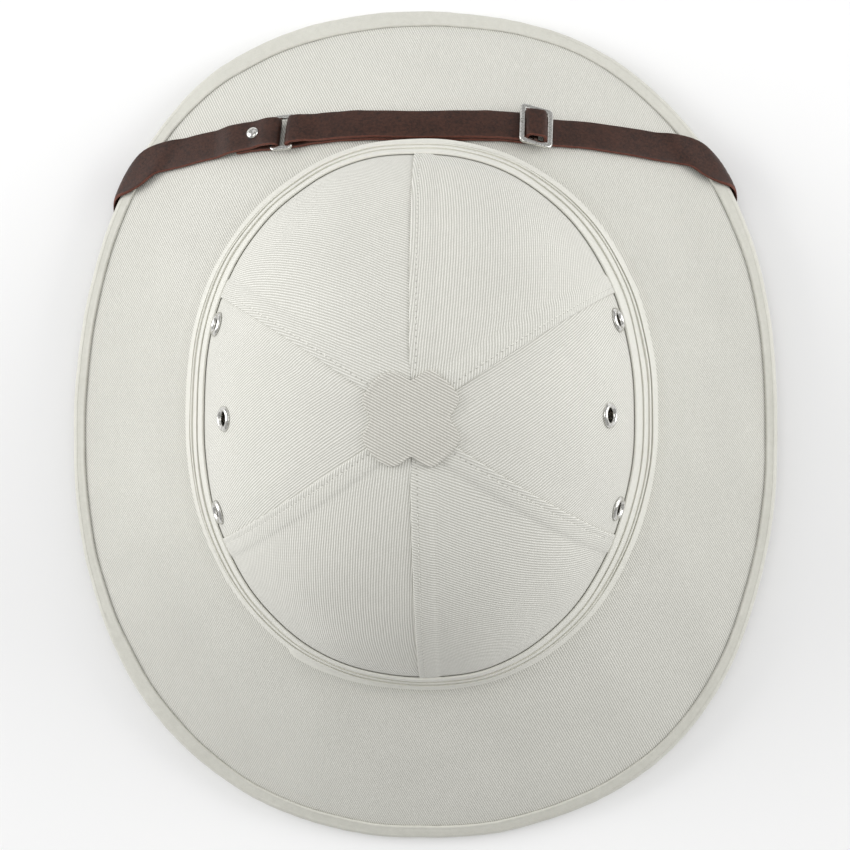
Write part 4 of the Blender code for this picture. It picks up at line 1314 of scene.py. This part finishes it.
def make_stud(course, mark):
    """Domed stud on a shank through both plies."""
    place = strap_frame(course, mark, 0.0)
    top = STRAP_HIGH + STRAP_WALL / 2 + 2 * GAP
    profile = [(0, STRAP_GAP), (STUD_SHANK, STRAP_GAP), (STUD_SHANK, top)]
    profile += [(STUD_RADIUS, top), (STUD_RADIUS * 1.01, top + 0.2 * MM)]
    profile += [(STUD_RADIUS * math.cos(a), top + 0.3 * MM + (STUD_RISE - 0.3 * MM) * math.sin(a))
                for a in np.radians([8, 22, 38, 55, 72, 90])]
    profile[-1] = (0, top + STUD_RISE)
    mesh = turned_mesh("strap_button", profile, 40, place)
    return finish_piece("strap_button", mesh, LOOKS["nickel"], ["strap_stud"])


def make_rivet(course, side, mark):
    """Hidden rivet through the strap's end into the crown's wall."""
    place = strap_frame(course, mark, 0.0)
    top = STRAP_LOW + STRAP_WALL / 2 + STRAP_GAP
    profile = [(0, -RIVET_DEPTH), (RIVET_SHANK, -RIVET_DEPTH), (RIVET_SHANK, top), (RIVET_HEAD, top)]
    profile += [(RIVET_HEAD * math.cos(a), top + 0.25 * MM + (RIVET_RISE - 0.25 * MM) * math.sin(a))
                for a in np.radians([0, 20, 40, 60, 80, 90])]
    profile[-1] = (0, top + RIVET_RISE)
    mesh = turned_mesh(f"strap_rivet_{side}", profile, 36, place)
    return finish_piece(f"strap_rivet_{side}", mesh, LOOKS["nickel"], [f"strap_anchor_{side}"])


def make_helmet():
    shell = make_shell()
    panels = [make_panel(index) for index in range(6)]
    make_stitches()
    make_brim()
    make_binding()
    make_band()
    make_patch()
    for eyelet in EYELETS:
        make_eyelet(*eyelet)
    frames = {side: [eyelet_frame(turn, above) for s, _, turn, above in EYELETS if s == side]
              for side in ("left", "right")}
    radius = EYELET_BARREL + GAP
    cut_holes(panels[0], hole_mesh("left_holes", radius, -3 * STACK, STACK, frames["left"]))
    cut_holes(panels[3], hole_mesh("right_holes", radius, -3 * STACK, STACK, frames["right"]))
    course = StrapCourse()
    rivets = {"left": RIVET_FROM_END, "right": course.length - RIVET_FROM_END}
    pins = [strap_frame(course, mark, 0.0) for mark in rivets.values()]
    cut_holes(shell, hole_mesh("shell_holes", radius, -3 * STACK, STACK, frames["left"] + frames["right"]))
    cut_holes(shell, hole_mesh("pin_holes", RIVET_SHANK + GAP, -RIVET_DEPTH - GAP, 2 * STACK, pins))
    ring_mark = course.mark_aside(RING_ASIDE)
    slide_mark = course.mark_aside(-SLIDE_ASIDE)
    make_strap_short(course, ring_mark)
    make_strap_long(course, ring_mark, slide_mark)
    make_strap_metal(course, ring_mark, slide_mark)
    make_stud(course, ring_mark - STUD_FROM_RING)
    for side, mark in rivets.items():
        make_rivet(course, side, mark)


# Floor, lights and camera

def make_floor():
    mesh = bpy.data.meshes.new("floor")
    mesh.from_pydata([(-3, -3, 0), (3, -3, 0), (3, 3, 0), (-3, 3, 0)], [], [(0, 1, 2, 3)])
    mesh.materials.append(floor_look())
    floor = bpy.data.objects.new("floor", mesh)
    bpy.context.scene.collection.objects.link(floor)


LIGHTS = (
    # name, place, size, power
    ("front", (0.1, -1.3, 0.75), 1.0, 1.2),
    ("left", (1.32, -0.32, 0.6), 1.0, 13.6),
    ("right", (-1.32, -0.32, 0.6), 1.0, 11.2),
    ("overhead", (0.0, -0.2, 1.9), 1.2, 7.0),
)


def make_lights():
    for name, place, size, power in LIGHTS:
        data = bpy.data.lights.new(name, "AREA")
        data.shape = "SQUARE"
        data.size = size
        data.energy = power
        lamp = bpy.data.objects.new(name, data)
        lamp.location = place
        lamp.rotation_mode = "QUATERNION"
        lamp.rotation_quaternion = (Vector((0, 0, 0.05)) - Vector(place)).to_track_quat("-Z", "Y")
        bpy.context.scene.collection.objects.link(lamp)
    world = bpy.data.worlds.new("studio")
    world.use_nodes = True
    world.node_tree.nodes["Background"].inputs["Color"].default_value = (1, 1, 1, 1)
    world.node_tree.nodes["Background"].inputs["Strength"].default_value = 0.45
    bpy.context.scene.world = world
    bpy.context.scene.view_settings.view_transform = "Standard"


CAMERA_PLACE = (-0.02842, -0.01622, 0.8)
CAMERA_YAW = -0.03557
CAMERA_PITCH = 0.02079
CAMERA_ROLL = 0.00992
CAMERA_LENS = 81.12


def make_camera():
    """Camera that looks straight down, with the front of the helmet at the top of the picture."""
    data = bpy.data.cameras.new("camera")
    data.sensor_width = 36
    data.lens = CAMERA_LENS
    camera = bpy.data.objects.new("camera", data)
    turned = (Matrix.Rotation(math.pi, 4, "Z") @ Matrix.Rotation(-CAMERA_YAW, 4, "Y")
              @ Matrix.Rotation(-CAMERA_PITCH, 4, "X") @ Matrix.Rotation(-CAMERA_ROLL, 4, "Z"))
    camera.matrix_world = Matrix.Translation(CAMERA_PLACE) @ turned
    bpy.context.scene.collection.objects.link(camera)
    bpy.context.scene.camera = camera


make_camera()
make_helmet()
make_floor()
make_lights()
